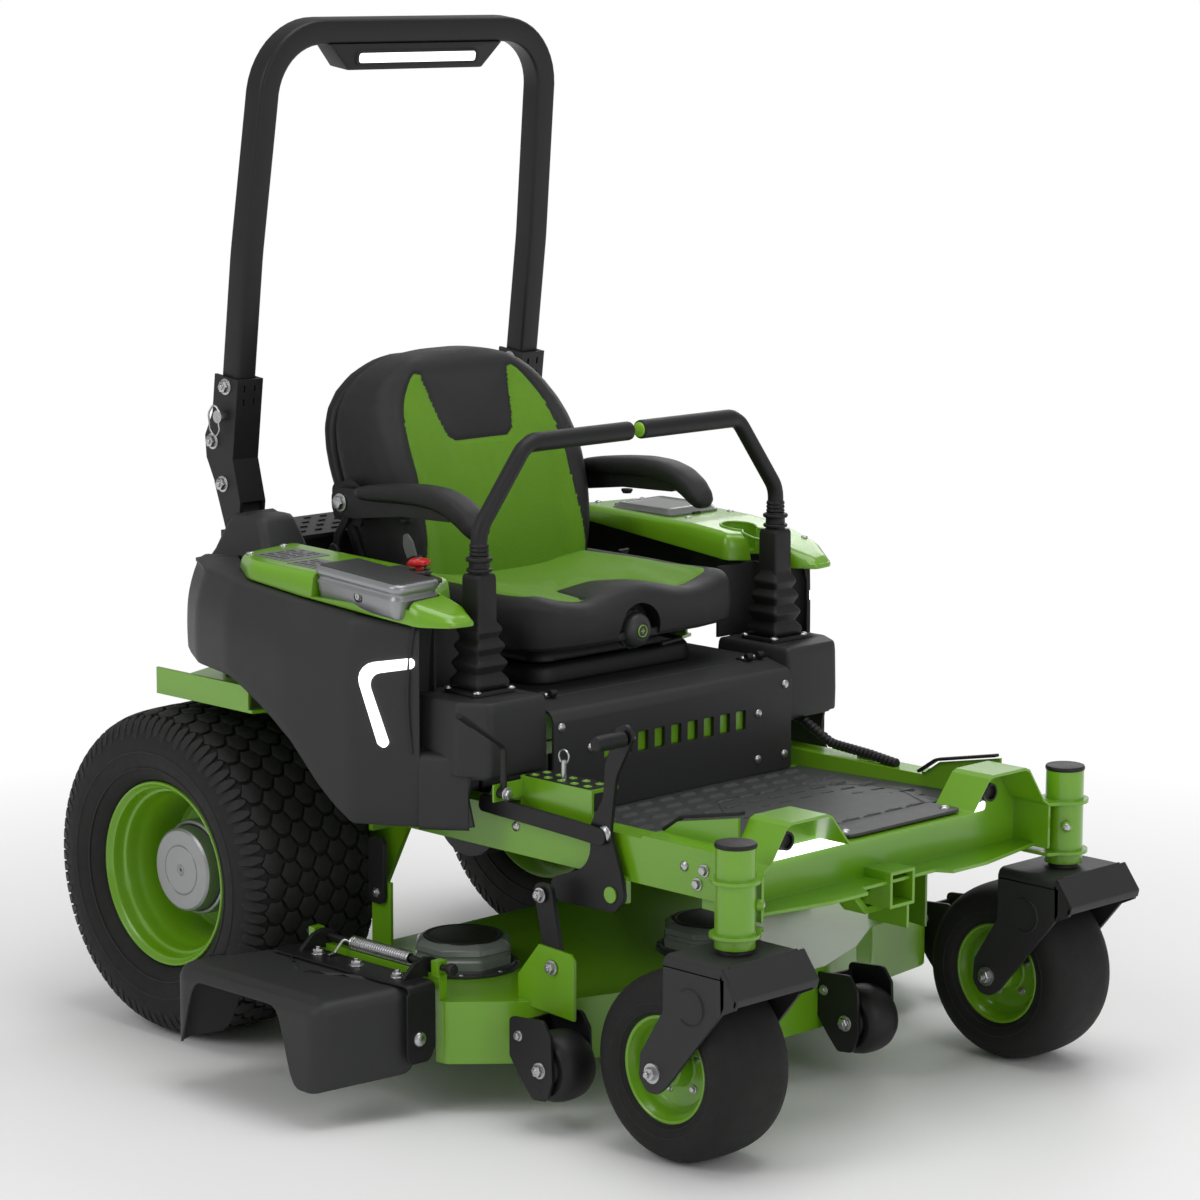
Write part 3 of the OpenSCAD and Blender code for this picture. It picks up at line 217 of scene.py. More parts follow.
material("green_paint", (0.155, 0.375, 0.008), rough=0.32, coat=0.6, coat_rough=0.12,
         bump=0.00012, bump_scale=420, mottle=0.10, mottle_scale=9, rough_var=0.05, edge=0.0022)
material("black_paint", (0.0085, 0.0085, 0.009), rough=0.42, spec=0.42, bump=0.00016,
         bump_scale=900, rough_var=0.07, edge=0.0022, dust=0.10)
material("fork_paint", (0.019, 0.019, 0.02), rough=0.5, spec=0.45, bump=0.00022,
         bump_scale=1100, rough_var=0.06, edge=0.0022, dust=0.12)
material("charcoal_plastic", (0.026, 0.0262, 0.027), rough=0.52, spec=0.42, grain=0.00022,
         grain_scale=1500, mottle=0.05, rough_var=0.05, edge=0.0025)
material("black_plastic", (0.0095, 0.0095, 0.01), rough=0.45, spec=0.42, grain=0.0002,
         grain_scale=1400, rough_var=0.05, edge=0.002)
material("soft_black", (0.0085, 0.0085, 0.0085), rough=0.48, spec=0.42, grain=0.00018,
         grain_scale=1300, rough_var=0.08, edge=0.0015, dust=0.08)
material("tyre_black", (0.0095, 0.0093, 0.009), rough=0.66, spec=0.36, grain=0.00035,
         grain_scale=700, mottle=0.35, mottle_scale=30, rough_var=0.12, edge=0.0008, dust=0.35)
material("bare_metal", (0.52, 0.52, 0.53), rough=0.3, metal=1.0, bump=0.00008, bump_scale=600,
         rough_var=0.1, edge=0.0009, mottle=0.2, mottle_scale=120, scratches=0.15)
material("silver_plastic", (0.33, 0.335, 0.34), rough=0.36, metal=0.75, grain=0.00008,
         grain_scale=2200, rough_var=0.05, edge=0.002, scratches=0.08)
material("red_plastic", (0.62, 0.012, 0.012), rough=0.28, coat=0.4, bump=0.00004,
         bump_scale=700, edge=0.0012)
material("clear_plastic", (0.34, 0.36, 0.34), rough=0.16, trans=0.62, coat=0.4, bump=0.0001,
         bump_scale=300, edge=0.0016, rough_var=0.08)
material("light_lens", (0.9, 0.9, 0.9), rough=0.35, glow=1.6, bump=0.0001, bump_scale=500,
         edge=0.0)
material("seat_green", (0.125, 0.30, 0.005), rough=0.58, spec=0.35, crease=0.00042,
         bump=0.00025, bump_scale=160, mottle=0.16, mottle_scale=25, edge=0.0, sheen=0.08)
material("seat_black", (0.0105, 0.0105, 0.011), rough=0.43, spec=0.45,
         weave=(2100.0, 0.00035), bump=0.00012, bump_scale=700, rough_var=0.07, edge=0.0)
material("motor_grey", (0.06, 0.062, 0.062), rough=0.4, metal=0.5, bump=0.0002,
         bump_scale=500, mottle=0.2, mottle_scale=40)
material("battery_grey", (0.05, 0.051, 0.053), bump=0.0003, bump_scale=400, edge=0.002,
         mottle=0.2, mottle_scale=20)
material("dark_grey", (0.032, 0.033, 0.034), rough=0.42, grain=0.00015, grain_scale=1500,
         edge=0.0015)
material("decal_grey", (0.16, 0.165, 0.165), rough=0.4, bump=0.0001, bump_scale=300, edge=0.0)
material("foot_grey", (0.045, 0.046, 0.048), spec=0.45, grain=0.00015, grain_scale=1500,
         edge=0.0015, dust=0.12)
material("clear_cover", (0.30, 0.33, 0.31), rough=0.2, trans=0.45, coat=0.3, bump=0.0001,
         bump_scale=300, edge=0.0015)
material("lime_cap", (0.25, 0.52, 0.02), rough=0.35, coat=0.3, bump=0.00006, bump_scale=500,
         edge=0.001)


# ---------------------------------------------------------------- mesh tools
class Shape:
    """A growing mesh in machine millimetres, with a material name per face."""

    def __init__(self):
        self.verts, self.faces, self.mats = [], [], []

    def add(self, mesh, mat=None):
        """Adds (verts, faces). Without a name they get the object's first material."""
        verts, faces = mesh
        start = len(self.verts)
        self.verts += [tuple(float(x) for x in p) for p in verts]
        self.faces += [tuple(i + start for i in face) for face in faces]
        self.mats += [mat] * len(faces)

    def mirrored(self):
        other = Shape()
        other.verts = [(-x, y, z) for x, y, z in self.verts]
        other.faces = [tuple(reversed(face)) for face in self.faces]
        other.mats = list(self.mats)
        return other


def loft(sections, caps=True, loop=False):
    """Skins closed sections in order. loop joins the last one to the first."""
    n = len(sections[0])
    count = len(sections)
    faces = []
    for i in range(count if loop else count - 1):
        a, b = i * n, ((i + 1) % count) * n
        for j in range(n):
            k = (j + 1) % n
            faces.append((a + j, a + k, b + k, b + j))
    if caps and not loop:
        faces.append(tuple(range(n))[::-1])
        faces.append(tuple((count - 1) * n + i for i in range(n)))
    return [p for section in sections for p in section], faces


def dome(sections, apex, floor=True):
    """A loft whose last section fans to an apex. floor closes the first section."""
    verts, faces = loft(sections, caps=False)
    n = len(sections[0])
    if floor:
        faces.append(tuple(range(n))[::-1])
    last = len(verts) - n
    faces += [(last + j, last + (j + 1) % n, last + n) for j in range(n)]
    return verts + [apex], faces


def fillet(points, radii, n=8):
    """A 3-D polyline with its inner corners rounded by one radius or one radius each."""
    p = [Vector(q) for q in points]
    out = [p[0]]
    for i in range(1, len(p) - 1):
        radius = radii[i - 1] if isinstance(radii, list) else radii
        back = (p[i - 1] - p[i]).normalized()
        ahead = (p[i + 1] - p[i]).normalized()
        angle = back.angle(ahead)
        if abs(angle - math.pi) < 1e-3:
            out.append(p[i])
            continue
        reach = radius / math.tan(angle / 2)
        centre = p[i] + (back + ahead).normalized() * (radius / math.sin(angle / 2))
        a, b = p[i] + back * reach - centre, p[i] + ahead * reach - centre
        full = a.angle(b)
        for k in range(n + 1):
            t = k / n
            arc = a * math.sin((1 - t) * full) + b * math.sin(t * full)
            out.append(centre + arc / math.sin(full))
    out.append(p[-1])
    return out


def plan_fillet(points, radii, n):
    """fillet() for (x, y) points."""
    return [(p.x, p.y) for p in fillet([(x, y, 0) for x, y in points], radii, n)]


def rounded(points, n=5):
    """A closed 2-D outline from corners (x, y, radius)."""
    out = []
    for i, (x, y, radius) in enumerate(points):
        before, after = points[i - 1], points[(i + 1) % len(points)]
        if radius < 0.01:
            out.append((x, y))
        else:
            out += plan_fillet([before[:2], (x, y), after[:2]], radius, n)[1:-1]
    return out


def rounded_box(x0, x1, y0, y1, radius, n=5):
    return rounded([(x0, y0, radius), (x1, y0, radius), (x1, y1, radius), (x0, y1, radius)], n)


def circle(radius, n=20):
    steps = [2 * math.pi * i / n for i in range(n)]
    return [(radius * math.cos(a), radius * math.sin(a)) for a in steps]


def bar(width, height, radius, n=4):
    """A rounded rectangle about the origin."""
    x, y = width / 2 - radius, height / 2 - radius
    out = []
    for cx, cy, start in ((x, y, 0), (-x, y, 90), (-x, -y, 180), (x, -y, 270)):
        for i in range(n + 1):
            a = math.radians(start + 90 * i / n)
            out.append((cx + radius * math.cos(a), cy + radius * math.sin(a)))
    return out


def tangent(path, i):
    ahead, back = path[min(i + 1, len(path) - 1)], path[max(i - 1, 0)]
    return (Vector(ahead) - Vector(back)).normalized()


def sweep(path, section, up=(0, 0, 1)):
    """Carries a 2-D section along a 3-D path."""
    path = [Vector(q) for q in path]
    sections = []
    side = None
    for i, point in enumerate(path):
        along = tangent(path, i)
        if side is None:
            side = along.cross(Vector(up))
            if side.length < 1e-3:
                side = along.cross(Vector((1, 0, 0)))
            side.normalize()
        else:
            side = (side - along * side.dot(along)).normalized()
        rise = side.cross(along)
        sections.append([point + side * a + rise * b for a, b in section])
    return loft(sections)


def rod(path, radius, n, up=(0, 0, 1)):
    return sweep(path, circle(radius, n), up)


def pipe(path, across, radius_at, n):
    """A round pipe with a radius from radius_at(index, point)."""
    sections = []
    for i, point in enumerate(path):
        along = tangent(path, i)
        side = Vector(across)
        side = (side - along * side.dot(along)).normalized()
        rise = side.cross(along)
        sections.append([Vector(point) + side * a + rise * b
                         for a, b in circle(radius_at(i, point), n)])
    return loft(sections)


AXES = {"x": (Vector((1, 0, 0)), Vector((0, 1, 0)), Vector((0, 0, 1))),
        "z": (Vector((0, 0, 1)), Vector((1, 0, 0)), Vector((0, 1, 0)))}


def basis(direction):
    main = Vector(direction).normalized()
    helper = Vector((0, 0, 1)) if abs(main.z) < 0.9 else Vector((1, 0, 0))
    side = helper.cross(main).normalized()
    return main, side, main.cross(side)


def lathe(profile, centre, axis, n=64, closed=False):
    """Turns (radius, distance along the axis) points. closed joins the profile's ends."""
    main, a, b = AXES[axis] if isinstance(axis, str) else basis(axis)
    centre = Vector(centre)
    sections = []
    for radius, along in profile:
        ring = circle(max(radius, 1e-4), n)
        sections.append([centre + main * along + a * u + b * v for u, v in ring])
    return loft(sections, loop=closed)


def cylinder(radius, start, end, centre, axis, n):
    return lathe([(0, start), (radius, start), (radius, end), (0, end)], centre, axis, n)


def tube(inner, outer, start, end, centre, axis, n):
    profile = [(inner, start), (outer, start), (outer, end), (inner, end)]
    return lathe(profile, centre, axis, n, closed=True)


def prism(points, low, high, plane="xy"):
    put = {"xy": lambda u, w, s: (u, w, s),
           "yz": lambda u, w, s: (s, u, w),
           "xz": lambda u, w, s: (u, s, w)}[plane]
    n = len(points)
    verts = [put(u, w, s) for s in (low, high) for u, w in points]
    faces = [tuple(range(n))[::-1], tuple(range(n, 2 * n))]
    faces += [(i, (i + 1) % n, n + (i + 1) % n, n + i) for i in range(n)]
    return verts, faces


def box(x0, x1, y0, y1, z0, z1):
    return prism([(x0, y0), (x1, y0), (x1, y1), (x0, y1)], z0, z1)


def drape(outline, low, high, height):
    """A slab whose faces lie at height(y) + low and height(y) + high."""
    verts, faces = prism(outline, 0, 1)
    return [(x, y, height(y) + (high if z else low)) for x, y, z in verts], faces


def span(side, near, far, middle=0):
    """A pair of sorted x values on one side of a middle plane."""
    return sorted((middle + side * near, middle + side * far))


def lift(points, z):
    """Plan points at one height, or at one height each."""
    return [(x, y, h) for (x, y), h in zip(points, np.broadcast_to(z, len(points)))]


def about(points, centre, scale):
    centre = np.array(centre, float)
    return centre + (np.array(points) - centre) * scale


def tiers(outline, centre, rows):
    """Sections of one outline, scaled about a centre: rows of (z, scale)."""
    return [lift(about(outline, centre, scale), z) for z, scale in rows]


def resample(path, step=None, count=None):
    """Evenly spaced points along a path, by spacing or by number of intervals."""
    points = np.array(path, float)
    lengths = np.linalg.norm(np.diff(points, axis=0), axis=1)
    run = np.concatenate([[0], np.cumsum(lengths)])
    count = count or max(2, int(run[-1] / step))
    places = np.linspace(0, run[-1], count + 1)
    columns = [np.interp(places, run, points[:, i]) for i in range(points.shape[1])]
    return list(zip(*columns))


def resample_loop(outline, step=None, count=None):
    return np.array(resample(outline + [outline[0]], step, count)[:-1])


def outward(points, centre, smooth=0):
    """Unit normals of a closed plan outline, pointing away from its centre."""
    along = np.roll(points, -1, 0) - np.roll(points, 1, 0)
    normals = np.stack([along[:, 1], -along[:, 0]], 1)
    normals /= np.linalg.norm(normals, axis=1)[:, None]
    if ((points - centre) * normals).sum() < 0:
        normals = -normals
    for _ in range(smooth):
        normals = (np.roll(normals, 1, 0) + normals + np.roll(normals, -1, 0)) / 3
    return normals


def smooth_curve(points, per=6):
    """Catmull-Rom through 2-D points."""
    p = [points[0]] + points + [points[-1]]
    out = []
    for i in range(1, len(p) - 2):
        for k in range(per):
            t = k / per
            out.append(tuple(
                0.5 * (2 * b + (d - a) * t + (2 * a - 5 * b + 4 * d - e) * t * t
                       + (3 * b - a - 3 * d + e) * t ** 3)
                for a, b, d, e in zip(p[i - 1], p[i], p[i + 1], p[i + 2])))
    return out + [points[-1]]


def mirrored_profile(half):
    """A wheel profile from its half: (radius, distance from the middle plane)."""
    return [(r, -s) for r, s in reversed(half)] + half[1:]


def signed_power(value, exponent):
    return math.copysign(abs(value) ** exponent, value)


def bolt(shape, place, out, size, mat=None, tail=0.0):
    """A washer and hex head pointing out from a place, with a thread end if tail is set."""
    shape.add(lathe([(0, -1), (size * 2.0, -1), (size * 2.05, 0.2), (size * 2.0, 1.4),
                     (size * 1.5, 1.8), (0, 1.8)], place, out, 24), mat)
    direction = Vector(out).normalized()
    seat = Vector(place) + direction * 1.6
    shape.add(lathe([(0, 0), (size * 1.55, 0), (size * 1.55, size * 0.85),
                     (size * 1.38, size * 1.08), (size * 0.9, size * 1.16), (0, size * 1.16)],
                    seat, out, 6), mat)
    if tail:
        shape.add(lathe([(0, 0), (size * 0.72, 0), (size * 0.72, tail - 1), (size * 0.55, tail),
                         (0, tail)], seat + direction * size, out, 14), mat)


def screw(shape, place, out, size, mat=None):
    """A domed head."""
    arc = [(size * 1.8 * math.cos(a), size * 0.9 * math.sin(a))
           for a in np.linspace(0, math.pi / 2 - 0.02, 7)]
    profile = [(0, -1), (size * 1.8, -1)] + arc + [(0, size * 0.9)]
    shape.add(lathe(profile, place, out, 20), mat)


# ---------------------------------------------------------------- object tools
def fix_normals(mesh):
    work = bmesh.new()
    work.from_mesh(mesh)
    bmesh.ops.remove_doubles(work, verts=work.verts, dist=1e-6)
    bmesh.ops.dissolve_degenerate(work, edges=work.edges, dist=1e-7)
    bmesh.ops.recalc_face_normals(work, faces=work.faces)
    work.to_mesh(mesh)
    work.free()


def reshade(ob, angle):
    ob.data.shade_smooth()
    ob.data.set_sharp_from_angle(angle=math.radians(angle))


def make(name, shape, mats, body, replaces=None, slot=None, angle=32, bevel=0.0,
         bevel_angle=35, fix=True, solid=0.0):
    """Builds an object from a Shape. bevel and solid (sheet thickness) are in millimetres."""
    mats = [mats] if isinstance(mats, str) else mats
    mesh = bpy.data.meshes.new(name)
    mesh.from_pydata(((np.array(shape.verts) + SHIFT) * 0.001).tolist(), [], shape.faces)
    indices = [0 if mat is None else mats.index(mat) for mat in shape.mats]
    mesh.polygons.foreach_set("material_index", indices)
    mesh.update()
    if fix:
        fix_normals(mesh)
    ob = bpy.data.objects.new(name, mesh)
    scene.collection.objects.link(ob)
    for mat in mats:
        mesh.materials.append(MATERIALS[mat])
    reshade(ob, angle)
    if solid:
        mod = ob.modifiers.new("thick", "SOLIDIFY")
        mod.thickness = solid * 0.001
        mod.offset = -1
    if bevel:
        mod = ob.modifiers.new("bevel", "BEVEL")
        mod.width = bevel * 0.001
        mod.segments = 2
        mod.limit_method = "ANGLE"
        mod.angle_limit = math.radians(bevel_angle)
        mod.harden_normals = True
        mod.use_clamp_overlap = True
    if body:
        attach(ob, body)
    if replaces:
        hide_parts(replaces)
    return ob


def both_sides(name, shape, mats, body, replaces="", **options):
    """Makes the left piece and its mirror image. {s} stands for the side's letter."""
    return [make(name.format(s=s), half, mats, body.format(s=s),
                 replaces=replaces.format(s=s), **options)
            for s, half in (("l", shape), ("r", shape.mirrored()))]


def apply_mods(ob):
    graph = bpy.context.evaluated_depsgraph_get()
    mesh = bpy.data.meshes.new_from_object(ob.evaluated_get(graph),
                                           preserve_all_data_layers=True, depsgraph=graph)
    old = ob.data
    ob.modifiers.clear()
    ob.data = mesh
    bpy.data.meshes.remove(old)


def subtract(ob, name, shape, mat):
    """Cuts a shape out of an object."""
    cutter = make(name, shape, mat, None)
    mod = ob.modifiers.new("cut", "BOOLEAN")
    mod.operation = "DIFFERENCE"
    mod.solver = "EXACT"
    mod.object = cutter
    apply_mods(ob)
    bpy.data.objects.remove(cutter)


def read_vectors(items, field):
    values = np.zeros(len(items) * 3)
    items.foreach_get(field, values)
    return values.reshape(-1, 3)


def write_points(mesh, points):
    mesh.vertices.foreach_set("co", points.ravel())
    mesh.update()


def to_machine(points):
    """Scene metres to machine millimetres."""
    return points * 1000 - SHIFT


# ---------------------------------------------------------------- rear wheels
def side_rings(shape, centre, rings, foot, crest, sink, rise):
    """Raised rings on both sidewalls: rings of (radius, distance from the middle)."""
    for side in (-1, 1):
        for r, s in rings:
            shape.add(lathe([(r - foot, side * (s - sink)), (r - crest, side * (s + rise)),
                             (r + crest, side * (s + rise)), (r + foot, side * (s - sink))],
                            centre, "x", 120, closed=True))


# tread block outline as shares of its half width and half length
TREAD_BLOCK = [(-1, 0), (-0.72, 0.42), (-0.46, 0.98), (0, 0.86), (0.46, 0.98), (0.72, 0.42),
               (1, 0), (0.72, -0.42), (0.46, -0.86), (0, -0.98), (-0.46, -0.86), (-0.72, -0.42)]


def rear_tyre():
    middle = 472.5
    tread_radius = 300.0
    groove_depth = 6.5
    # outer surface without grooves: (radius, distance from the middle plane)
    half = smooth_curve([(300, 0), (299.5, 50), (297.5, 95), (292, 122), (281, 139),
                         (262, 148), (238, 151.5), (212, 149), (190, 141), (176, 131),
                         (168.5, 121), (163, 118)], 5)
    carcass = [(r - groove_depth * float(np.clip((r - 262) / 22, 0, 1)),
                s * (1 - 0.012 * float(np.clip((r - 200) / 60, 0, 1)))) for r, s in half]
    shape = Shape()
    centre = (middle, 0, REAR_AXLE_Z)
    profile = mirrored_profile(carcass) + [(160.8, 112), (160.8, -112)]
    shape.add(lathe(profile, centre, "x", 120, closed=True))
    side_rings(shape, centre, ((226, 151.6), (196, 145.8)), foot=2.2, crest=1, sink=1.6, rise=0.2)

    curve = np.array(half)
    run = np.concatenate([[0], np.cumsum(np.hypot(*np.diff(curve, axis=0).T))])
    along = np.gradient(curve, axis=0)
    along /= np.hypot(along[:, 0], along[:, 1])[:, None]
    normals = np.stack([along[:, 1], -along[:, 0]], 1)
    normals *= np.sign(normals[:, :1] + 1e-9)

    def on_tread(across, angle, height):
        """A point by arc length from the middle, angle round the axle and height."""
        q = abs(across)
        r = np.interp(q, run, curve[:, 0]) + np.interp(q, run, normals[:, 0]) * height
        s = np.interp(q, run, curve[:, 1]) + abs(np.interp(q, run, normals[:, 1])) * height
        return (middle + (s if across >= 0 else -s), r * math.sin(angle),
                REAR_AXLE_Z + r * math.cos(angle))

    def block(outline, across, angle, foot, slope):
        def level(scale, height):
            return [on_tread(across + u * scale, angle + w * scale / tread_radius, height)
                    for u, w in outline]
        shape.add(dome([level(1, foot), level(0.985, -slope), level(0.90, 0.0)],
                       on_tread(across, angle, 0.35), floor=False))

    count = 42
    pitch = 2 * math.pi / count
    length = pitch * tread_radius / 2
    gap = 1.9
    outline = [(u * (24.0 - gap), w * (length - gap)) for u, w in TREAD_BLOCK]
    for column in range(7):
        stagger = 0.5 if column % 2 else 0.0
        for i in range(count):
            block(outline, 36 * (column - 3), (i + stagger) * pitch, foot=-8.0, slope=0.9)
    w = length / 2 - 1.5
    for side in (-1, 1):
        for i in range(count * 2):  # shoulder blocks, every other one longer
            reach, tip = (30, 36) if i % 2 == 0 else (24, 28)
            outline = [(-14, -w * 0.5), (-17, 0), (-14, w * 0.5), (2, w), (18, w * 0.85),
                       (reach, w * 0.7), (tip, 0), (reach, -w * 0.7), (18, -w * 0.85), (2, -w)]
            block([(u * side, q) for u, q in outline], side * 141, (i + 0.5) * pitch / 2,
                  foot=-7.5, slope=1.1)
    return shape


both_sides("rear_turf_tyre_{s}", rear_tyre(), "tyre_black", "rear_wheel_{s}",
           replaces="rear_tyre_{s}", angle=40)

# (radius, x) down the outer lip, across the disc, and back through the barrel
RIM_OUTER = [(161, 588), (165, 590.5), (168.5, 594), (169.5, 597.5), (168, 600.5), (165, 601),
             (162.5, 598.5), (160, 594), (156.5, 591.5), (154.5, 586), (154, 577), (151.5, 572),
             (147, 570), (144.5, 565), (143.5, 553), (139, 544), (133, 530), (129.5, 505),
             (128, 480)]
RIM_DISC = [(126, 468), (119, 461), (104, 458), (84, 458), (20, 458),
            (20, 452), (104, 452), (124, 455), (133, 470)]
RIM_BARREL = [(134, 420), (136, 380), (143, 366), (152, 358), (160, 350), (167, 346),
              (169.5, 348.5), (168, 353), (164, 356), (158, 362), (150, 370), (146, 384),
              (145, 540), (150, 562), (158, 570), (160, 580)]


def on_rear_wheel(x, radius, angle):
    return (x, radius * math.cos(angle), REAR_AXLE_Z + radius * math.sin(angle))


def rear_rim():
    shape = Shape()
    centre = (0, 0, REAR_AXLE_Z)
    shape.add(lathe(RIM_OUTER + RIM_DISC + RIM_BARREL, centre, "x", 96, closed=True))
    # valve stem and its cap
    foot, tip = Vector((474, -22, REAR_AXLE_Z + 131)), Vector((492, -26, REAR_AXLE_Z + 122))
    shape.add(rod([foot, tip], 5.5, 12), "black_plastic")
    shape.add(rod([tip, tip + (tip - foot) * 0.5], 4.2, 12), "black_plastic")
    for i in range(6):  # stamped pads round the disc
        shape.add(lathe([(0, -2), (15, -2), (15, 0.5), (12, 2.2), (0, 2.2)],
                        on_rear_wheel(458, 104, math.radians(30 + 60 * i)), "x", 24))
    return shape


both_sides("rear_rim_dished_{s}", rear_rim(), ["green_paint", "black_plastic"],
           "rear_wheel_{s}", replaces="rear_rim_{s}", angle=28)


def hub():
    shape = Shape()
    profile = [(0, 450), (86, 450), (87.5, 470), (87.5, 522), (86, 527), (81.5, 529),
               (81.5, 526), (78, 526), (78, 548), (76.5, 554), (72, 557.5), (46.5, 558.6),
               (45.8, 557.4), (44.6, 557.4), (43.8, 558.7), (10.5, 559), (9.5, 557.8),
               (7, 557.8), (6, 559), (3.2, 559), (2.4, 555), (0, 555)]
    shape.add(lathe(profile, (0, 0, REAR_AXLE_Z), "x", 80))
    section = [(-1.6, -1.2), (1.6, -1.2), (1.6, 1.2), (-1.6, 1.2)]
    for start in (60, 180, 300):  # dark joint round the cap, in three arcs
        path = [on_rear_wheel(528.6, 79.8, math.radians(start + t)) for t in range(0, 92, 6)]
        shape.add(sweep(path, section, up=(1, 0, 0)), "black_plastic")
    for i in range(5):
        bolt(shape, on_rear_wheel(458.5, 99, math.radians(18 + 72 * i)), (1, 0, 0), 5.2,
             "bare_metal", tail=9)
    return shape


both_sides("hub_cap_{s}", hub(), ["silver_plastic", "black_plastic", "bare_metal"],
           "rear_wheel_{s}", replaces="wheel_hub_{s}", slot="bare_metal", angle=25)


# ---------------------------------------------------------------- front casters
CASTER_AXLE = (CASTER_X, CASTER_AXLE_Y, CASTER_AXLE_Z)


def caster_tyre():
    half = smooth_curve([(160, 0), (159.2, 28), (155.5, 52), (147, 69), (134, 78.5), (118, 81),
                         (103, 78), (93, 71), (88, 66)], 6)
    shape = Shape()
    shape.add(lathe(mirrored_profile(half) + [(82, 60), (82, -60)], CASTER_AXLE, "x", 120,
                    closed=True))
    side_rings(shape, CASTER_AXLE, ((112, 80.8), (98, 75.4)), foot=1.4, crest=0.7, sink=1.4,
               rise=0.1)
    return shape


def caster_rim():
    face = [(88.5, 62), (90.5, 65), (90.5, 68), (87.5, 69.5), (84.5, 67.5), (82, 62),
            (78.5, 58), (76.5, 50), (73, 42), (66, 36), (52, 33), (36, 33), (33, 35), (31, 50),
            (29, 60), (24, 63), (9.2, 63)]
    shape = Shape()
    profile = face + [(9.2, -63)] + [(r, -s) for r, s in reversed(face[:-1])]
    shape.add(lathe(profile, CASTER_AXLE, "x", 80, closed=True))
    for side in (-1, 1):
        for i in range(5):
            angle = math.radians(72 * i + 10)
            bolt(shape, (CASTER_X + side * 33, CASTER_AXLE_Y + 46 * math.cos(angle),
                         CASTER_AXLE_Z + 46 * math.sin(angle)), (side, 0, 0), 3.6, "bare_metal")
    return shape


def caster_axle():
    """Axle ends, nuts, and the spacers between hub and fork legs."""
    shape = Shape()
    for side in (-1, 1):
        shape.add(cylinder(9, side * 60, side * 96, CASTER_AXLE, "x", 24))
        bolt(shape, (CASTER_X + side * 97, CASTER_AXLE_Y, CASTER_AXLE_Z), (side, 0, 0), 7.5,
             tail=8)
        shape.add(tube(9.5, 15, side * 63.5, side * 88.5, CASTER_AXLE, "x", 28))
    return shape


both_sides("caster_tyre_smooth_{s}", caster_tyre(), "tyre_black", "front_wheel_{s}",
           replaces="caster_tyre_{s}", angle=40)
both_sides("caster_rim_dished_{s}", caster_rim(), ["green_paint", "bare_metal"],
           "front_wheel_{s}", replaces="caster_rim_{s}", angle=28)
both_sides("caster_axle_nuts_{s}", caster_axle(), "bare_metal", "caster_{s}",
           replaces="caster_axle_{s}", angle=28)


# ---------------------------------------------------------------- seat pads
# backrest: (z, half width)
BACK_W = np.array([
    (752, 196), (790, 214), (830, 228), (880, 238), (940, 246), (1000, 250), (1050, 250),
    (1090, 244), (1120, 233), (1150, 213), (1175, 188), (1195, 158), (1208, 128), (1216, 96),
    (1221, 52), (1223, 0)])
# backrest: (z, y of its front, y of its rear)
BACK_Y = np.array([
    (752, -262, -150), (800, -266, -128), (850, -268, -112), (900, -266, -97), (960, -254, -80),
    (1020, -236, -58), (1080, -208, -42), (1120, -188, -36), (1150, -174, -36),
    (1180, -162, -42), (1205, -150, -56), (1223, -126, -84)])
# green insert of the backrest: (z, half width)
INSERT_ROWS = [(800, 206), (850, 203), (890, 197), (940, 192), (990, 189), (1030, 189),
               (1066, 187), (1100, 182), (1128, 172), (1150, 158), (1166, 145), (1178, 134),
               (1186, 122)]
BACK_INSERT = ([(-110, 1183)] + [(-w, z) for z, w in reversed(INSERT_ROWS)]
               + [(w, z) for z, w in INSERT_ROWS] + [(110, 1183)])
# black head patch inside the insert: (x, z)
HEAD_PATCH = [(-112, 1230), (-108, 1176), (-92, 1104), (-82, 1074), (-66, 1062), (66, 1062),
              (82, 1074), (92, 1104), (108, 1176), (112, 1230)]
# green insert of the cushion: (x, y)
BASE_INSERT = [(-214, -150), (-214, -330), (-222, -430), (-232, -520), (-228, -560),
               (-206, -578), (-150, -584), (-112, -586), (-104, -560), (-92, -500), (-80, -488),
               (80, -488), (92, -500), (104, -560), (112, -586), (150, -584), (206, -578),
               (228, -560), (232, -520), (222, -430), (214, -330), (214, -150)]
SEAT_MIDDLE = np.array([0.0, -380.0])


def half_w(z):
    return np.interp(z, BACK_W[:, 0], BACK_W[:, 1])


def back_front(z):
    return np.interp(z, BACK_Y[:, 0], BACK_Y[:, 1])


def back_rear(z):
    return np.interp(z, BACK_Y[:, 0], BACK_Y[:, 2])


def outline_distance(px, py, outline):
    """Signed distance to a closed 2-D outline, negative inside."""
    corners = np.array(outline, float)
    points = np.stack([px, py], 1)
    best = np.full(len(points), 1e9)
    inside = np.zeros(len(points), bool)
    for i in range(len(corners)):
        a, b = corners[i], corners[(i + 1) % len(corners)]
        ab = b - a
        t = np.clip(((points - a) @ ab) / (ab @ ab + 1e-12), 0, 1)
        best = np.minimum(best, np.linalg.norm(points - (a + t[:, None] * ab), axis=1))
        crosses = (a[1] > points[:, 1]) != (b[1] > points[:, 1])
        cut = (b[0] - a[0]) * (points[:, 1] - a[1]) / (b[1] - a[1] + 1e-12) + a[0]
        inside ^= crosses & (points[:, 0] < cut)
    return np.where(inside, -best, best)


def back_insert_distance(p):
    return outline_distance(p[:, 0], p[:, 2], BACK_INSERT)


def back_green_distance(p):
    """The insert without the head patch."""
    patch = outline_distance(p[:, 0], p[:, 2], HEAD_PATCH)
    return np.maximum(back_insert_distance(p), -patch)


def base_green_distance(p):
    return outline_distance(p[:, 0], p[:, 1], BASE_INSERT)


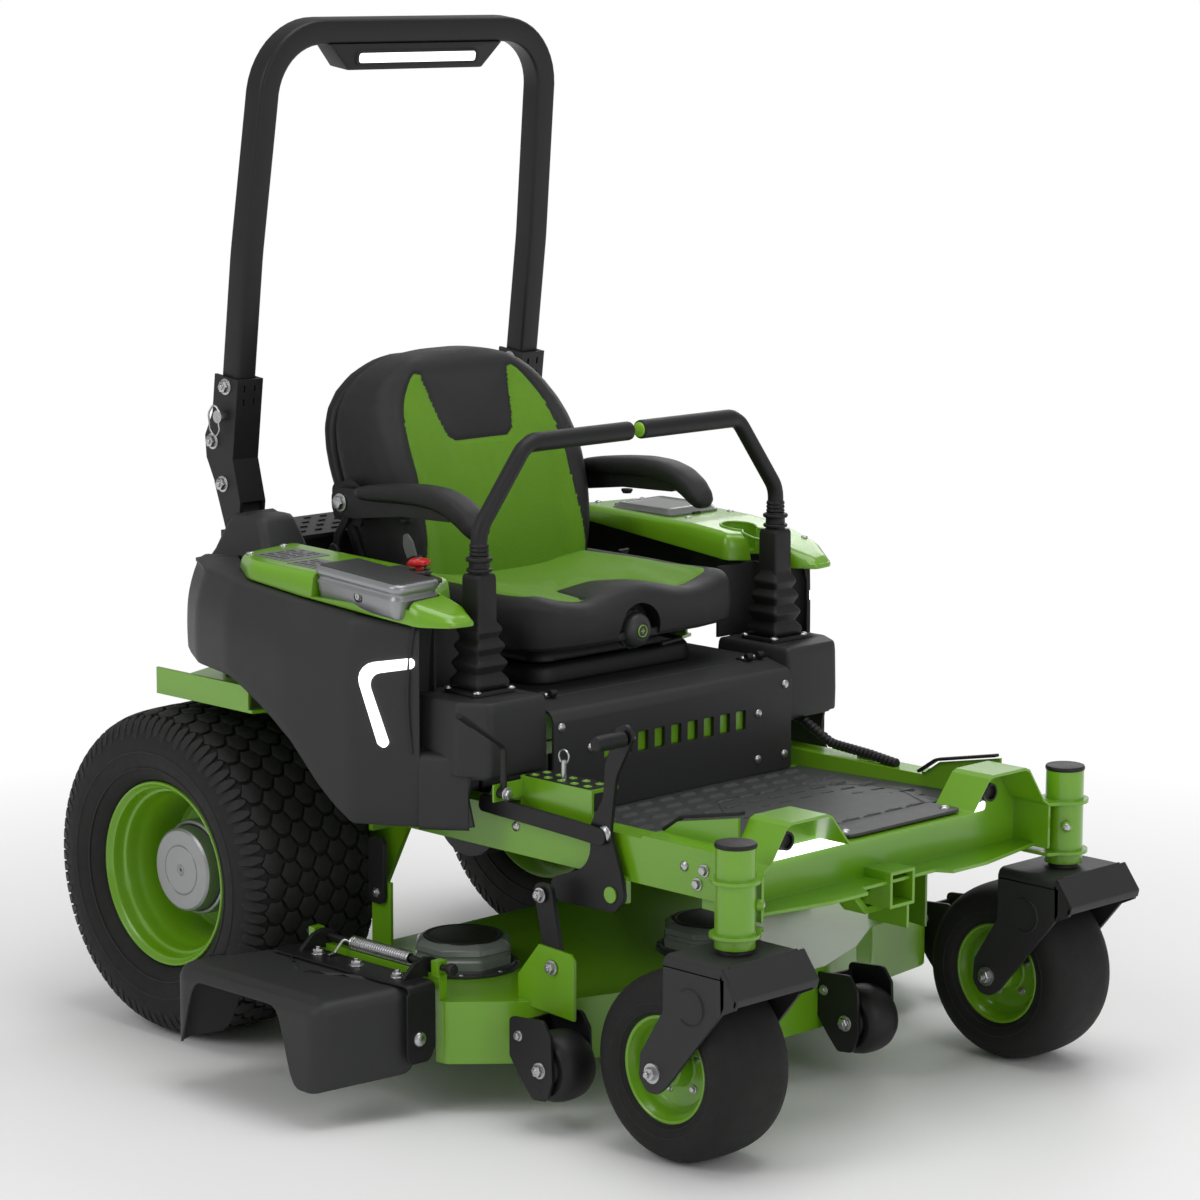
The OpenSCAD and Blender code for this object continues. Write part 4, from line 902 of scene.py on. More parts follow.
def back_section(z):
    """Closed horizontal slice of the backrest, with side bolsters on its front."""
    width = float(half_w(z))
    front, rear = float(back_front(z)), float(back_rear(z))
    depth = (rear - front) / 2
    middle = (rear + front) / 2
    bolster = 20.0 * min(1.0, max(0.0, (1215 - z) / 150)) * min(1, max(0.15, (z - 740) / 90))
    points = []
    for i in range(720):
        a = 2 * math.pi * i / 720
        ca, sa = math.cos(a), math.sin(a)
        x = width * signed_power(ca, 0.42)
        y = middle + depth * signed_power(sa, 0.30 if sa < 0 else 0.38)
        if sa < 0:
            u = abs(x) / max(width, 1)
            y += (-bolster * math.exp(-((u - 0.86) / 0.12) ** 2) * min(1, abs(sa) * 2.5)
                  + bolster * 0.5 * (1 - u * u) * min(1, abs(sa) * 3))
        points.append((x, y))
    return resample_loop(points, count=132)


def back_pad():
    heights = list(np.linspace(752, 1150, 62)) + [
        1156, 1162, 1168, 1174, 1180, 1186, 1192, 1197, 1202, 1206.5, 1210.5, 1214, 1217,
        1219.4, 1221.2]
    sections = [lift(back_section(z), z) for z in heights]
    top_y, bottom_y = (float(np.mean([p[1] for p in sections[i]])) for i in (-1, 0))
    verts, faces = dome(sections, (0.0, top_y, 1222.6), floor=False)
    n = len(sections[0])
    faces += [((j + 1) % n, j, len(verts)) for j in range(n)]
    shape = Shape()
    shape.add((verts + [(0, bottom_y, 752)], faces))
    return shape


def base_outline(count=168):
    corners = [(-262, -112, 46), (-268, -300, 60), (-266, -560, 0), (-258, -618, 62),
               (-150, -636, 60), (150, -636, 60), (258, -618, 62), (266, -560, 0),
               (268, -300, 60), (262, -112, 46)]
    return resample_loop(rounded(corners, 8), count=count)


def seat_top(points):
    """Height of the cushion's top surface."""
    x, y = points[:, 0], points[:, 1]
    u = np.clip(np.abs(x) / 262.0, 0, 1)
    v = np.clip((-y - 112) / 520.0, 0, 1)  # 0 at the back, 1 at the front
    dish = 22 * np.exp(-((v - 0.42) / 0.26) ** 2) * np.exp(-(u / 0.62) ** 4)
    bolsters = (12 * np.exp(-((u - 0.86) / 0.13) ** 2)
                * (1 - 0.7 * np.clip((v - 0.55) / 0.4, 0, 1)))
    thighs = 9 * np.exp(-((u - 0.47) / 0.21) ** 2) * np.clip((v - 0.62) / 0.3, 0, 1)
    pommel = 13 * np.exp(-(u / 0.22) ** 2) * np.clip((v - 0.60) / 0.25, 0, 1)
    corners = 6 * np.clip((v - 0.7) / 0.2, 0, 1) * np.exp(-((u - 0.92) / 0.2) ** 2)
    return 826 - dish + bolsters - thighs + pommel + corners


def base_pad():
    outline = base_outline()
    normals = outward(outline, SEAT_MIDDLE)
    floor = 744.0
    radius = 27.0  # rounding of the top edge
    edge = seat_top(about(outline, SEAT_MIDDLE, 0.93))
    sections = [lift(outline - normals * 10, floor), lift(outline - normals * 3, floor + 1.5)]
    for t in (0.0, 0.08, 0.2, 0.34, 0.48, 0.62, 0.76, 0.88, 1.0):
        bulge = 3.0 * math.sin(math.pi * t)
        sections.append(lift(outline + normals * (bulge - 2),
                             floor + 6 + (edge - radius - floor - 6) * t))
    for degrees in (15, 30, 45, 60, 75, 90):
        a = math.radians(degrees)
        sections.append(lift(outline - normals * (2 + radius * (1 - math.cos(a))),
                             edge - radius + radius * math.sin(a)))
    rim = np.array(sections[-1])
    for k in range(1, 40):
        points = about(rim[:, :2], SEAT_MIDDLE, 1 - k / 40.0)
        blend = max(0.0, 1 - k / 5.0)
        sections.append(lift(points, seat_top(points) * (1 - blend) + rim[:, 2] * blend))
    shape = Shape()
    shape.add(dome(sections, (*SEAT_MIDDLE, seat_top(SEAT_MIDDLE[None])[0])))
    return shape


def puff(ob, pin_weights, pressure, cap, frames=20):
    """A short cloth run that fills a cover out between its seams, by at most cap metres."""
    mesh = ob.data
    rest = read_vectors(mesh.vertices, "co")
    group = ob.vertex_groups.new(name="seams")
    for i, weight in enumerate(pin_weights(to_machine(rest))):
        if weight > 0.01:
            group.add([i], float(min(1, weight)), "REPLACE")
    mod = ob.modifiers.new("cloth", "CLOTH")
    cloth = mod.settings
    cloth.quality = 6
    cloth.mass = 0.3
    cloth.tension_stiffness = 14.0
    cloth.compression_stiffness = 14.0
    cloth.shear_stiffness = 7.0
    cloth.bending_stiffness = 0.6
    cloth.use_pressure = True
    cloth.uniform_pressure_force = pressure
    cloth.vertex_group_mass = "seams"
    cloth.pin_stiffness = 1.0
    cloth.shrink_min = 0.0
    cloth.effector_weights.gravity = 0.0
    mod.collision_settings.use_collision = False
    mod.collision_settings.use_self_collision = False
    mod.point_cache.frame_start = 1
    mod.point_cache.frame_end = frames
    for frame in range(1, frames + 1):
        scene.frame_set(frame)
    evaluated = ob.evaluated_get(bpy.context.evaluated_depsgraph_get())
    filled = read_vectors(evaluated.to_mesh().vertices, "co")
    evaluated.to_mesh_clear()
    ob.modifiers.remove(mod)
    ob.vertex_groups.clear()
    scene.frame_set(1)
    if np.isfinite(filled).all():  # keep the rest shape if the run diverges
        move = filled - rest
        length = np.linalg.norm(move, axis=1)
        share = np.where(length > cap, cap / np.maximum(length, 1e-9), 1.0)
        write_points(mesh, rest + move * share[:, None])


def refine(ob):
    mod = ob.modifiers.new("fine", "SUBSURF")
    mod.levels = mod.render_levels = 1
    apply_mods(ob)


def press_seam(mesh, distance, facing, width=3.4, depth=2.4):
    """Presses a stitched seam into the surface along its normals."""
    points = read_vectors(mesh.vertices, "co")
    normals = read_vectors(mesh.vertices, "normal")
    press = np.exp(-(np.abs(distance(to_machine(points))) / width) ** 2)
    points -= normals * (press * depth * 0.001 * facing(normals))[:, None]
    write_points(mesh, points)


def snap_to_seam(mesh, distance, axes, reach=1.7):
    """Moves vertices near a seam line onto it, along the given axes."""
    points = to_machine(read_vectors(mesh.vertices, "co"))
    start = distance(points)
    slope = np.zeros(points.shape)
    for axis in axes:
        beside = points.copy()
        beside[:, axis] += 1.0
        slope[:, axis] = distance(beside) - start
    square = (slope ** 2).sum(1) + 1e-9
    near = np.abs(start) / np.sqrt(square) < reach
    points[near] -= ((start / square)[:, None] * slope)[near]
    write_points(mesh, (points + SHIFT) / 1000)


def upholster(ob, pin_weights, pressure, cap, distance, axes, seam_facing, green_facing):
    """Fills a pad, sews its seam and paints the inside of the seam green."""
    puff(ob, pin_weights, pressure, cap)
    refine(ob)
    mesh = ob.data
    press_seam(mesh, distance, seam_facing)
    snap_to_seam(mesh, distance, axes)
    inside = distance(to_machine(read_vectors(mesh.polygons, "center"))) < 0
    green = inside & green_facing(read_vectors(mesh.polygons, "normal"))
    mesh.polygons.foreach_set("material_index", green.astype(np.int32))
    mesh.update()
    fix_normals(mesh)


def pin_near(distance, width=5.0):
    return np.exp(-(distance / width) ** 2)


def back_pin(p):
    front = back_front(p[:, 2])
    depth = (p[:, 1] - front) / (back_rear(p[:, 2]) - front)
    fixed = np.where((depth > 0.55) | (p[:, 2] < 775), 1.0, 0.0)
    seams = np.maximum(pin_near(back_insert_distance(p)),
                       0.9 * pin_near(back_green_distance(p)))
    return np.maximum(fixed, np.where(depth < 0.35, seams, 0))


def base_pin(p):
    fixed = np.where((p[:, 2] < 772) | (p[:, 1] > -150), 1.0, 0.0)
    return np.maximum(fixed, np.where(p[:, 2] > 790, pin_near(base_green_distance(p)), 0))


SEAT_MATS = ["seat_black", "seat_green"]
backrest = make("backrest_pad", back_pad(), SEAT_MATS, "seat", replaces="back_cushion",
                angle=180, fix=False)
upholster(backrest, back_pin, pressure=3.2, cap=0.016, distance=back_green_distance,
          axes=(0, 2), seam_facing=lambda n: n[:, 1] < -0.25,
          green_facing=lambda n: n[:, 1] < -0.2)
backrest.data.shade_smooth()
cushion = make("seat_base_pad", base_pad(), SEAT_MATS, "seat", replaces="seat_cushion",
               angle=180, fix=False)
upholster(cushion, base_pin, pressure=3.0, cap=0.012, distance=base_green_distance,
          axes=(0, 1), seam_facing=lambda n: n[:, 2] > 0.3,
          green_facing=lambda n: n[:, 2] > 0.3)


def knob_recess():
    """Arched recess for the knob in the cushion's front."""
    arch = [(KNOB_X + 52 * math.cos(t), KNOB_Z + 50 * math.sin(t))
            for t in np.linspace(0, math.pi, 28)]
    shape = Shape()
    shape.add(prism([(35, 735)] + arch + [(-69, 735)], -650, -604, "xz"))
    return shape


subtract(cushion, "knob_recess_cut", knob_recess(), "seat_black")
reshade(cushion, 50)


# ---------------------------------------------------------------- seat shell, armrests, knob
def shell_back(shape):
    sections = []
    for z in list(np.linspace(748, 1150, 44)) + [1160, 1170, 1180, 1190, 1198, 1204, 1209, 1213]:
        width = float(half_w(z)) - 3
        rear = float(back_rear(z))
        front, rear = rear - 32, rear + 14
        middle, depth = (front + rear) / 2, (rear - front) / 2
        sections.append([(width * signed_power(c, 0.3), middle + depth * signed_power(s, 0.6), z)
                         for c, s in circle(1, 96)])
    shape.add(loft(sections))


def belt_latch(shape):
    for side in (-1, 1):  # webbing stalks
        shape.add(sweep([(side * 264, -292, 792), (side * 268, -304, 820),
                         (side * 268, -312, 836)], bar(5, 26, 2), up=(1, 0, 0)))
    tilt = (Matrix.Translation((-268, -322, 852))
            @ Matrix.Rotation(math.radians(-24), 4, "X"))
    # housing, steel tongue plate and button: outline (y, z), x range, material
    for outline, low, high, mat in (
            ([(-17, -34, 6), (17, -34, 6), (18, 30, 8), (-18, 30, 8)], -9, 9, None),
            ([(-12, 28, 0), (12, 28, 0), (13, 56, 8), (5, 74, 8), (-5, 74, 8), (-13, 56, 8)],
             -2, 2, "decal_grey"),
            ([(-9, 6, 3), (9, 6, 3), (9, 24, 3), (-9, 24, 3)], -10.2, -8, "red_plastic")):
        verts, faces = prism(rounded(outline), low, high, "yz")
        shape.add(([tilt @ Vector(p) for p in verts], faces), mat)


def seat_shell():
    shape = Shape()
    shell_back(shape)
    # pan under the cushion
    shape.add(loft(tiers(base_outline(120), SEAT_MIDDLE, (
        (741.5, 0.90), (741.5, 0.955), (743, 0.97), (748, 0.975), (756, 0.975), (758, 0.96)))))
    bracket = rounded([(-176, 918, 8), (-100, 930, 12), (-96, 992, 16), (-150, 1004, 16),
                       (-182, 985, 12)])
    for side in (-1, 1):
        out = (side, 0, 0)
        # hinge blocks, then the armrest bracket with its pivot bolt
        shape.add(box(*span(side, 236, 262), -190, -112, 752, 838))
        shape.add(box(*span(side, 224, 268), -164, -108, 930, 990))
        shape.add(prism(bracket, *span(side, 266, 272), "yz"))
        shape.add(cylinder(20, 0, 4, (side * 272, -136, 962), out, 24))
        bolt(shape, (side * 287, -136, 962), out, 8.5, "bare_metal")
        shape.add(cylinder(7.5, 0, 16, (side * 272, -136, 962), out, 20), "bare_metal")
        # strut below the pivot
        shape.add(sweep([(side * 276, -150, 944), (side * 278, -120, 900),
                         (side * 276, -112, 872)], bar(9, 16, 3)))
        shape.add(lathe([(0, -5), (12, -5), (14, -2), (14, 3), (12, 6), (0, 6)],
                        (side * 277, -110, 870), out, 24))
    belt_latch(shape)
    for side in (-1, 1):  # slide rails under the pan
        shape.add(box(*span(side, 151, 169), -560, -160, 741.6, 750))
    return shape


make("seat_back_shell", seat_shell(),
     ["black_plastic", "bare_metal", "decal_grey", "red_plastic"], "seat",
     replaces="seat_shell", angle=40, bevel=1.6, bevel_angle=50)

# armrest pad stations, rear to front: (y, z, height, width)
ARM_STATIONS = np.array([
    (-186, 985, 10, 22), (-192, 986, 20, 36), (-206, 987, 26, 46), (-240, 990, 31, 54),
    (-300, 995, 35, 60), (-360, 998, 38, 62), (-410, 995, 40, 62), (-448, 985, 41, 61),
    (-476, 969, 40, 58), (-494, 953, 35, 52), (-504, 942, 26, 42), (-509, 937, 12, 24)])


def armrest_pad():
    count = len(ARM_STATIONS)
    places = np.linspace(0, count - 1, 46)
    stations = [tuple(float(v) for v in row) for row in np.stack(
        [np.interp(places, range(count), ARM_STATIONS[:, c]) for c in range(4)], 1)]
    sections = []
    for i, (y, z, height, width) in enumerate(stations):
        a, b = stations[max(i - 1, 0)], stations[min(i + 1, len(stations) - 1)]
        dy, dz = b[0] - a[0], b[1] - a[1]
        length = math.hypot(dy, dz)
        up_y, up_z = dz / length, -dy / length
        section = []
        for c, s in circle(1, 32):
            across = signed_power(c, 0.62) * width / 2
            rise = signed_power(s, 0.72) * height / 2
            section.append((284 + across, y + up_y * rise, z + up_z * rise))
        sections.append(section)
    shape = Shape()
    shape.add(loft(sections))
    return shape


def armrest_arm():
    """Steel arm with its rounded end."""
    shape = Shape()
    outline = rounded([(-112, 938, 18), (-110, 988, 20), (-160, 990, 10), (-250, 984, 0),
                       (-400, 984, 0), (-440, 968, 8), (-430, 957, 8), (-300, 953, 10),
                       (-170, 936, 10)])
    shape.add(prism(outline, 276, 285.5, "yz"))
    shape.add(lathe([(0, 0), (11, 0), (11, 3), (8, 8), (0, 8)], (279, -308, 950), (0, 0, -1), 18))
    return shape


def arm_pin(p):
    """Pins the pad's underside."""
    line = np.interp(-p[:, 1], [190, 300, 410, 476, 505], [980, 986, 984, 960, 940])
    return np.where(p[:, 2] < line, 1.0, 0.0)


left_pad, left_arm = armrest_pad(), armrest_arm()
for s, pad, arm in (("l", left_pad, left_arm), ("r", left_pad.mirrored(), left_arm.mirrored())):
    ob = make(f"armrest_pad_{s}", pad, "seat_black", f"arm_{s}", replaces=f"armrest_{s}",
              angle=60)
    puff(ob, arm_pin, pressure=3.0, cap=0.004, frames=12)
    refine(ob)
    make(f"armrest_arm_{s}", arm, "black_paint", f"arm_{s}", angle=35, bevel=1.2)


def weight_knob():
    shape = Shape()
    base = (KNOB_X, -612, KNOB_Z)
    front = (0, -1, 0)
    profile = [(0, -4), (33.5, -4), (34.5, 0), (34.5, 5), (33, 7), (31.5, 8), (31, 16),
               (29.5, 21), (26, 25), (20, 28), (15.5, 29.4), (14.8, 28.6), (13.8, 28.6),
               (13, 29.8), (8, 30.6), (4, 30.8), (0, 30.8)]
    shape.add(lathe(profile, base, front, 48))
    for u, w in circle(33.8, 14):  # ribs round the flange
        shape.add(rod([(KNOB_X + u, -612, KNOB_Z + w), (KNOB_X + u, -618, KNOB_Z + w)], 2.2, 8))
    shape.add(cylinder(9, -60, 0, base, front, 16))
    # lime ring and cross on the cap
    shape.add(lathe([(9.5, 30.0), (9.9, 31.2), (10.9, 31.2), (11.3, 30.0)], base, front, 40,
                    closed=True), "lime_cap")
    for a, b in ((4.4, 1.0), (1.0, 4.4)):
        shape.add(prism([(KNOB_X - a, KNOB_Z - b), (KNOB_X + a, KNOB_Z - b),
                         (KNOB_X + a, KNOB_Z + b), (KNOB_X - a, KNOB_Z + b)],
                        -643.3, -642.2, "xz"), "lime_cap")
    return shape


make("weight_knob", weight_knob(), ["dark_grey", "lime_cap"], "knob", replaces="seat_knob",
     slot="black_plastic", angle=30)


def seat_skirt():
    shape = Shape()
    outline = rounded([(-207, -142, 26), (-207, -568, 46), (207, -568, 46), (207, -142, 26)], 8)
    shape.add(loft(tiers(outline, (0, -355), (
        (670.2, 1.0), (676, 1.0), (690, 0.995), (699, 0.985), (703, 0.972), (704.5, 0.955),
        (704.5, 0.93), (690, 0.93))), caps=False))
    return shape


def suspension_cover():
    shape = Shape()
    outline = rounded([(-188, -160, 22), (-188, -550, 40), (188, -550, 40), (188, -160, 22)], 8)
    shape.add(loft(tiers(outline, (0, -355), (
        (705.5, 0.99), (708, 0.999), (716, 1.0), (722, 0.985), (729, 1.0), (734.5, 0.985)))))
    for side in (-1, 1):
        shape.add(box(*span(side, 153, 167), -545, -165, 734.5, 741), "black_paint")
    handle = fillet([(120, -540, 724), (120, -604, 722), (120, -606, 722), (60, -612, 720)], 6)
    shape.add(rod(handle, 4.5, 12), "black_paint")
    return shape


make("seat_skirt", seat_skirt(), "black_plastic", "chassis", angle=35, solid=2.0)
make("suspension_cover", suspension_cover(), ["black_plastic", "black_paint"], "suspension",
     replaces="seat_suspension", angle=35, bevel=1.0)


# ---------------------------------------------------------------- side cowls
def cowl_top(y):
    return float(np.interp(-y, [-98, -84, -60, 120, 600, 664], [795, 845, 868, 862, 815, 803]))


def cowl_bottom(y):
    return float(np.interp(
        -y, [-98, -92, -60, 178, 215, 260, 300, 340, 370, 400, 437, 475, 630],
        [712, 700, 694, 690, 674, 650, 626, 598, 565, 530, 494, 466, 462]))


def inward(path):
    """Unit normals of an open plan path, pointing to the inside of the cowl."""
    points = np.array(path, float)
    along = np.gradient(points, axis=0)
    along /= np.linalg.norm(along, axis=1)[:, None]
    normals = np.stack([-along[:, 1], along[:, 0]], 1)
    if ((np.array([380.0, -300.0]) - points) * normals).sum() < 0:
        normals = -normals
    return normals


def strip(path, section_at, step):
    """Carries section_at(y), closed points (inward offset, z), along a plan path."""
    points = resample(path, step)
    return loft([[(x + nx * o, y + ny * o, z) for o, z in section_at(y)]
                 for (x, y), (nx, ny) in zip(points, inward(points))])


def cowl_wall_section(y):
    top, bottom = cowl_top(y), cowl_bottom(y)
    k = float(np.clip((-y - 380) / 120, 0, 1))  # 0 beside the seat, 1 at the front end
    lean = (24 * (1 - k) + 4 * k) * 0.62
    wall = []
    for z in np.linspace(bottom, top - 14, 18):
        u = max(0.0, (z - (top - 90)) / 76)
        tail = max(0.0, (600 - z)) * 0.06 * k
        hump = -3.5 * math.exp(-((z - 742) / 60) ** 2) * (1 - k)
        rim = 3.5 * max(0.0, 1 - (z - bottom) / 9) ** 2
        wall.append((tail + hump + lean * u * u + rim, float(z)))
    arc = [(lean + 14 * (1 - math.cos(a)), top - 14 + 14 * math.sin(a))
           for a in map(math.radians, (20, 45, 70, 90))]
    roof = [(lean + 74, top), (lean + 74, top - 5), (lean + 18, top - 5)]
    inner = [(o + 5, z) for o, z in wall]
    inner[-1] = (inner[-1][0] + 4, inner[-1][1])
    return wall + arc + roof + inner[::-1]


def dish_section(y):
    out = []
    for z in np.linspace(594, 817, 16):
        u = (z - 594) / 223
        out.append((12 * math.sin(math.pi * min(1, u * 0.9 + 0.1)) ** 0.8, float(z)))
    return out + [(o + 4, z) for o, z in out[::-1]]


def ledge_section(y):
    bottom = 462 + 4 * float(np.clip((-y - 577) / 80, 0, 1))
    return [(3, bottom), (0.5, bottom + 4), (0, bottom + 9), (0, 560), (0, 584), (3, 591),
            (9, 595), (16, 596), (62, 601), (62, 597), (16, 591), (8, 586), (5, 578), (5, 560),
            (5, bottom + 8), (5, bottom)]


def front_section(y):
    return [(2, 556), (0, 560), (0, 584), (3, 591), (8, 594.5), (34, 597), (34, 592), (9, 589),
            (5, 584), (5, 560), (5, 556)]


def fender_height(y):
    return cowl_top(min(y, 60)) - max(0, y - 30) * 0.18


def cowl():
    shape = Shape()
    wall = plan_fillet([(314, 92), (402, 98), (500, 42), (562, -62), (590, -180), (589, -330),
                        (566, -478), (496, -579)], [30, 80, 90, 120, 260, 46], 8)
    shape.add(strip(wall, cowl_wall_section, 10))
    # dished recess in front of the wall, and the panels behind it
    dish = plan_fillet([(500, -574), (489, -556), (462, -545), (424, -543)], [16, 20], 5)
    shape.add(strip(dish, dish_section, 7))
    shape.add(box(330, 428, -500, -494, 684, 818))
    shape.add(box(425, 431, -546, -494, 684, 818))
    # ledge and tail below the recess
    ledge = plan_fillet([(497, -577), (472, -628), (455, -657)], [60], 6)
    shape.add(strip(ledge, ledge_section, 8))
    front = plan_fillet([(455, -655), (441, -690), (312, -692)], [22], 6)
    shape.add(strip(front, front_section, 8))
    # tail's front edge
    shape.add(prism([(-575, 462), (-628, 463), (-668, 474), (-654, 520), (-662, 560),
                     (-575, 560)], 449, 454, "yz"))
    # fender skin round the roll bar post, then the post cover
    fender = rounded([(318, 86, 0), (398, 90, 30), (486, 36, 40), (536, -50, 40),
                      (548, -100, 0), (430, -100, 0), (318, -100, 0)])
    shape.add(drape(fender, -8, -3, fender_height))
    sections = []
    for z, x0, x1, y0, y1 in ((856, 300, 418, -84, 84), (868, 304, 412, -78, 78),
                              (900, 309, 406, -64, 62), (926, 313, 401, -50, 46),
                              (934, 317, 397, -44, 40), (936, 323, 391, -38, 34)):
        corners = [(x0, y1, 16), (x0, y0, 16), (x1, y0, 16), (x1, y1, 16)]
        sections.append(lift(rounded(corners, 4), z))
    shape.add(loft(sections))
    return shape


both_sides("side_cowl_skin_{s}", cowl(), "charcoal_plastic", "chassis",
           replaces="side_cowl_{s}", angle=38)


def lever_box():
    shape = Shape()
    outline = rounded([(306, -700, 8), (306, -520, 0), (472, -520, 0), (472, -646, 16),
                       (440, -700, 18)])
    shape.add(loft(tiers(outline, (385.0, -600.0), (
        (562, 0.985), (566, 0.995), (600, 1.0), (670, 0.985), (682, 0.975), (688, 0.955),
        (690, 0.93)))))
    return shape


for side, ob in zip((1, -1), both_sides("lever_box_{s}", lever_box(), "charcoal_plastic",
                                        "chassis", angle=35)):
    slot_shape = Shape()
    slot_shape.add(box(*span(side, 350, 400), -632, -560, 540, 720))
    subtract(ob, "lever_slot_cut", slot_shape, "charcoal_plastic")


# ---------------------------------------------------------------- consoles
CONSOLE_OUTLINE = [(350, -80, 24), (500, -108, 40), (548, -190, 60), (546, -330, 80),
                   (530, -480, 60), (514, -590, 34), (482, -645, 26), (434, -652, 14),
                   (414, -606, 10), (414, -535, 10), (350, -500, 10)]
# cup holders in the left console: (x, y, lip radius)
CUPS = ((424, -520, 36), (424, -462, 34.5))


def console_top(y):
    return np.interp(-y, [75, 400, 470, 520, 580, 645], [893, 886, 880, 872, 857, 836])


def console_bottom(y):
    return np.interp(-y, [75, 120, 600, 645], [868, 864, 817, 818])


def console():
    outline = resample_loop(rounded(CONSOLE_OUTLINE, 6), 7)
    centre = np.array([458.0, -345.0])
    normals = outward(outline, centre, smooth=6)
    sections = []
    # (inset, share of the height, z shift)
    for inset, share, dz in ((7, 0, 1.5), (3, 0, 0), (-1, 0, 1), (-1.5, 0, 5), (0.5, 0.5, 0),
                             (2.5, 1, -9), (6, 1, -4.5), (12.5, 1, -0.8), (15, 1, -0.2)):
        points = outline - normals * inset
        bottom, top = console_bottom(points[:, 1]), console_top(points[:, 1])
        sections.append(lift(points, bottom + (top - bottom) * share + dz))
    rim = outline - normals * 15
    for k in range(1, 16):
        points = about(rim, centre, 1 - k / 16)
        sections.append(lift(points, console_top(points[:, 1])))
    shape = Shape()
    shape.add(dome(sections, (*centre, console_top(centre[1]))))
    return shape


def cut_each(ob, meshes):
    for mesh in meshes:
        shape = Shape()
        shape.add(mesh)
        subtract(ob, "shape_cut", shape, "green_paint")
    reshade(ob, 32)


console_left, console_right = both_sides("console_cover_{s}", console(), "green_paint",
                                         "chassis", replaces="console_{s}")
cut_each(console_left, [  # two cup holders and the storage pocket
    lathe([(0, 822), (31, 822), (33.5, 830), (34.5, 900), (0, 900)], (*CUPS[0][:2], 0), "z", 48),
    lathe([(0, 836), (30, 836), (32, 842), (33, 900), (0, 900)], (*CUPS[1][:2], 0), "z", 48),
    prism(rounded([(384, -322, 12), (510, -322, 12), (510, -170, 10), (384, -170, 10)]),
          874, 900)])
cut_each(console_right, [  # room for the control housing and the stop button's stem
    prism([(-560, -580), (-434, -566), (-434, -356), (-560, -356)], 846, 905),
    cylinder(11.4, 860, 905, (STOP_X, STOP_Y, 0), "z", 24)])


def cup_lips():
    """Rolled lips, open where the two cups meet."""
    shape = Shape()
    for (cx, cy, radius), (ox, oy, other) in zip(CUPS, CUPS[::-1]):
        points = []
        for i in range(64):
            t = 2 * math.pi * i / 64
            x, y = cx + radius * math.cos(t), cy + radius * math.sin(t)
            if math.hypot(x - ox, y - oy) >= other - 0.5:
                points.append((t, (x, y, console_top(y) + 0.4)))
        # start the arc after its widest gap
        gaps = [(points[(i + 1) % len(points)][0] - points[i][0]) % (2 * math.pi)
                for i in range(len(points))]
        start = (int(np.argmax(gaps)) + 1) % len(points)
        shape.add(rod([p for _, p in points[start:] + points[:start]], 2.6, 10))
    return shape


def console_screws():
    shape = Shape()
    for side in (-1, 1):
        for x, y in ((400, -110), (498, -135), (520, -350), (500, -560), (402, -350)):
            if side > 0 or y >= -345:
                screw(shape, (side * x, y, console_top(y) + 0.2), (0, 0, 1), 3.8)
    return shape


def storage_lid():
    """Lid with stepped facets, open below."""
    outline = rounded([(378, -328, 14), (516, -328, 14), (516, -165, 10), (378, -165, 10)])
    verts, faces = loft(tiers(outline, (447.0, -246.0), (
        (888.5, 1.0), (890.5, 1.0), (892, 0.99), (893, 0.965), (900.5, 0.88), (901.4, 0.86),
        (901.6, 0.80), (899.8, 0.77), (899.6, 0.60))), caps=False)
    faces.append(tuple(range(len(verts) - len(outline), len(verts))))
    shape = Shape()
    shape.add((verts, faces))
    return shape


def storage_hinges():
    shape = Shape()
    for x0, x1 in ((400, 440), (470, 505)):
        shape.add(rod([(x0, -158, 891), (x1, -158, 891)], 4.2, 14))
        shape.add(box(x0 + 2, x1 - 2, -168, -158, 889.5, 892.5))
    shape.add(box(438, 456, -332, -322, 887.5, 893))
    return shape


def storage_tray():
    shape = Shape()
    shape.add(box(386, 508, -320, -172, 874.5, 876))
    shape.add(box(404, 448, -300, -262, 876, 884))
    for x in (416, 432):
        shape.add(box(x - 4, x + 4, -301.5, -299, 879, 882), "bare_metal")
    return shape


make("cup_holder_lips", cup_lips(), "green_paint", "chassis", angle=50)
make("console_screws", console_screws(), "bare_metal", "chassis", angle=30)
make("storage_lid_clear", storage_lid(), "clear_plastic", "lid", replaces="storage_lid",
     angle=25, solid=2.2)
make("storage_lid_hinges", storage_hinges(), "dark_grey", "lid", angle=35, bevel=0.8)
make("storage_tray", storage_tray(), ["dark_grey", "bare_metal"], "chassis", angle=35,
     bevel=1.2, slot="charcoal_plastic")


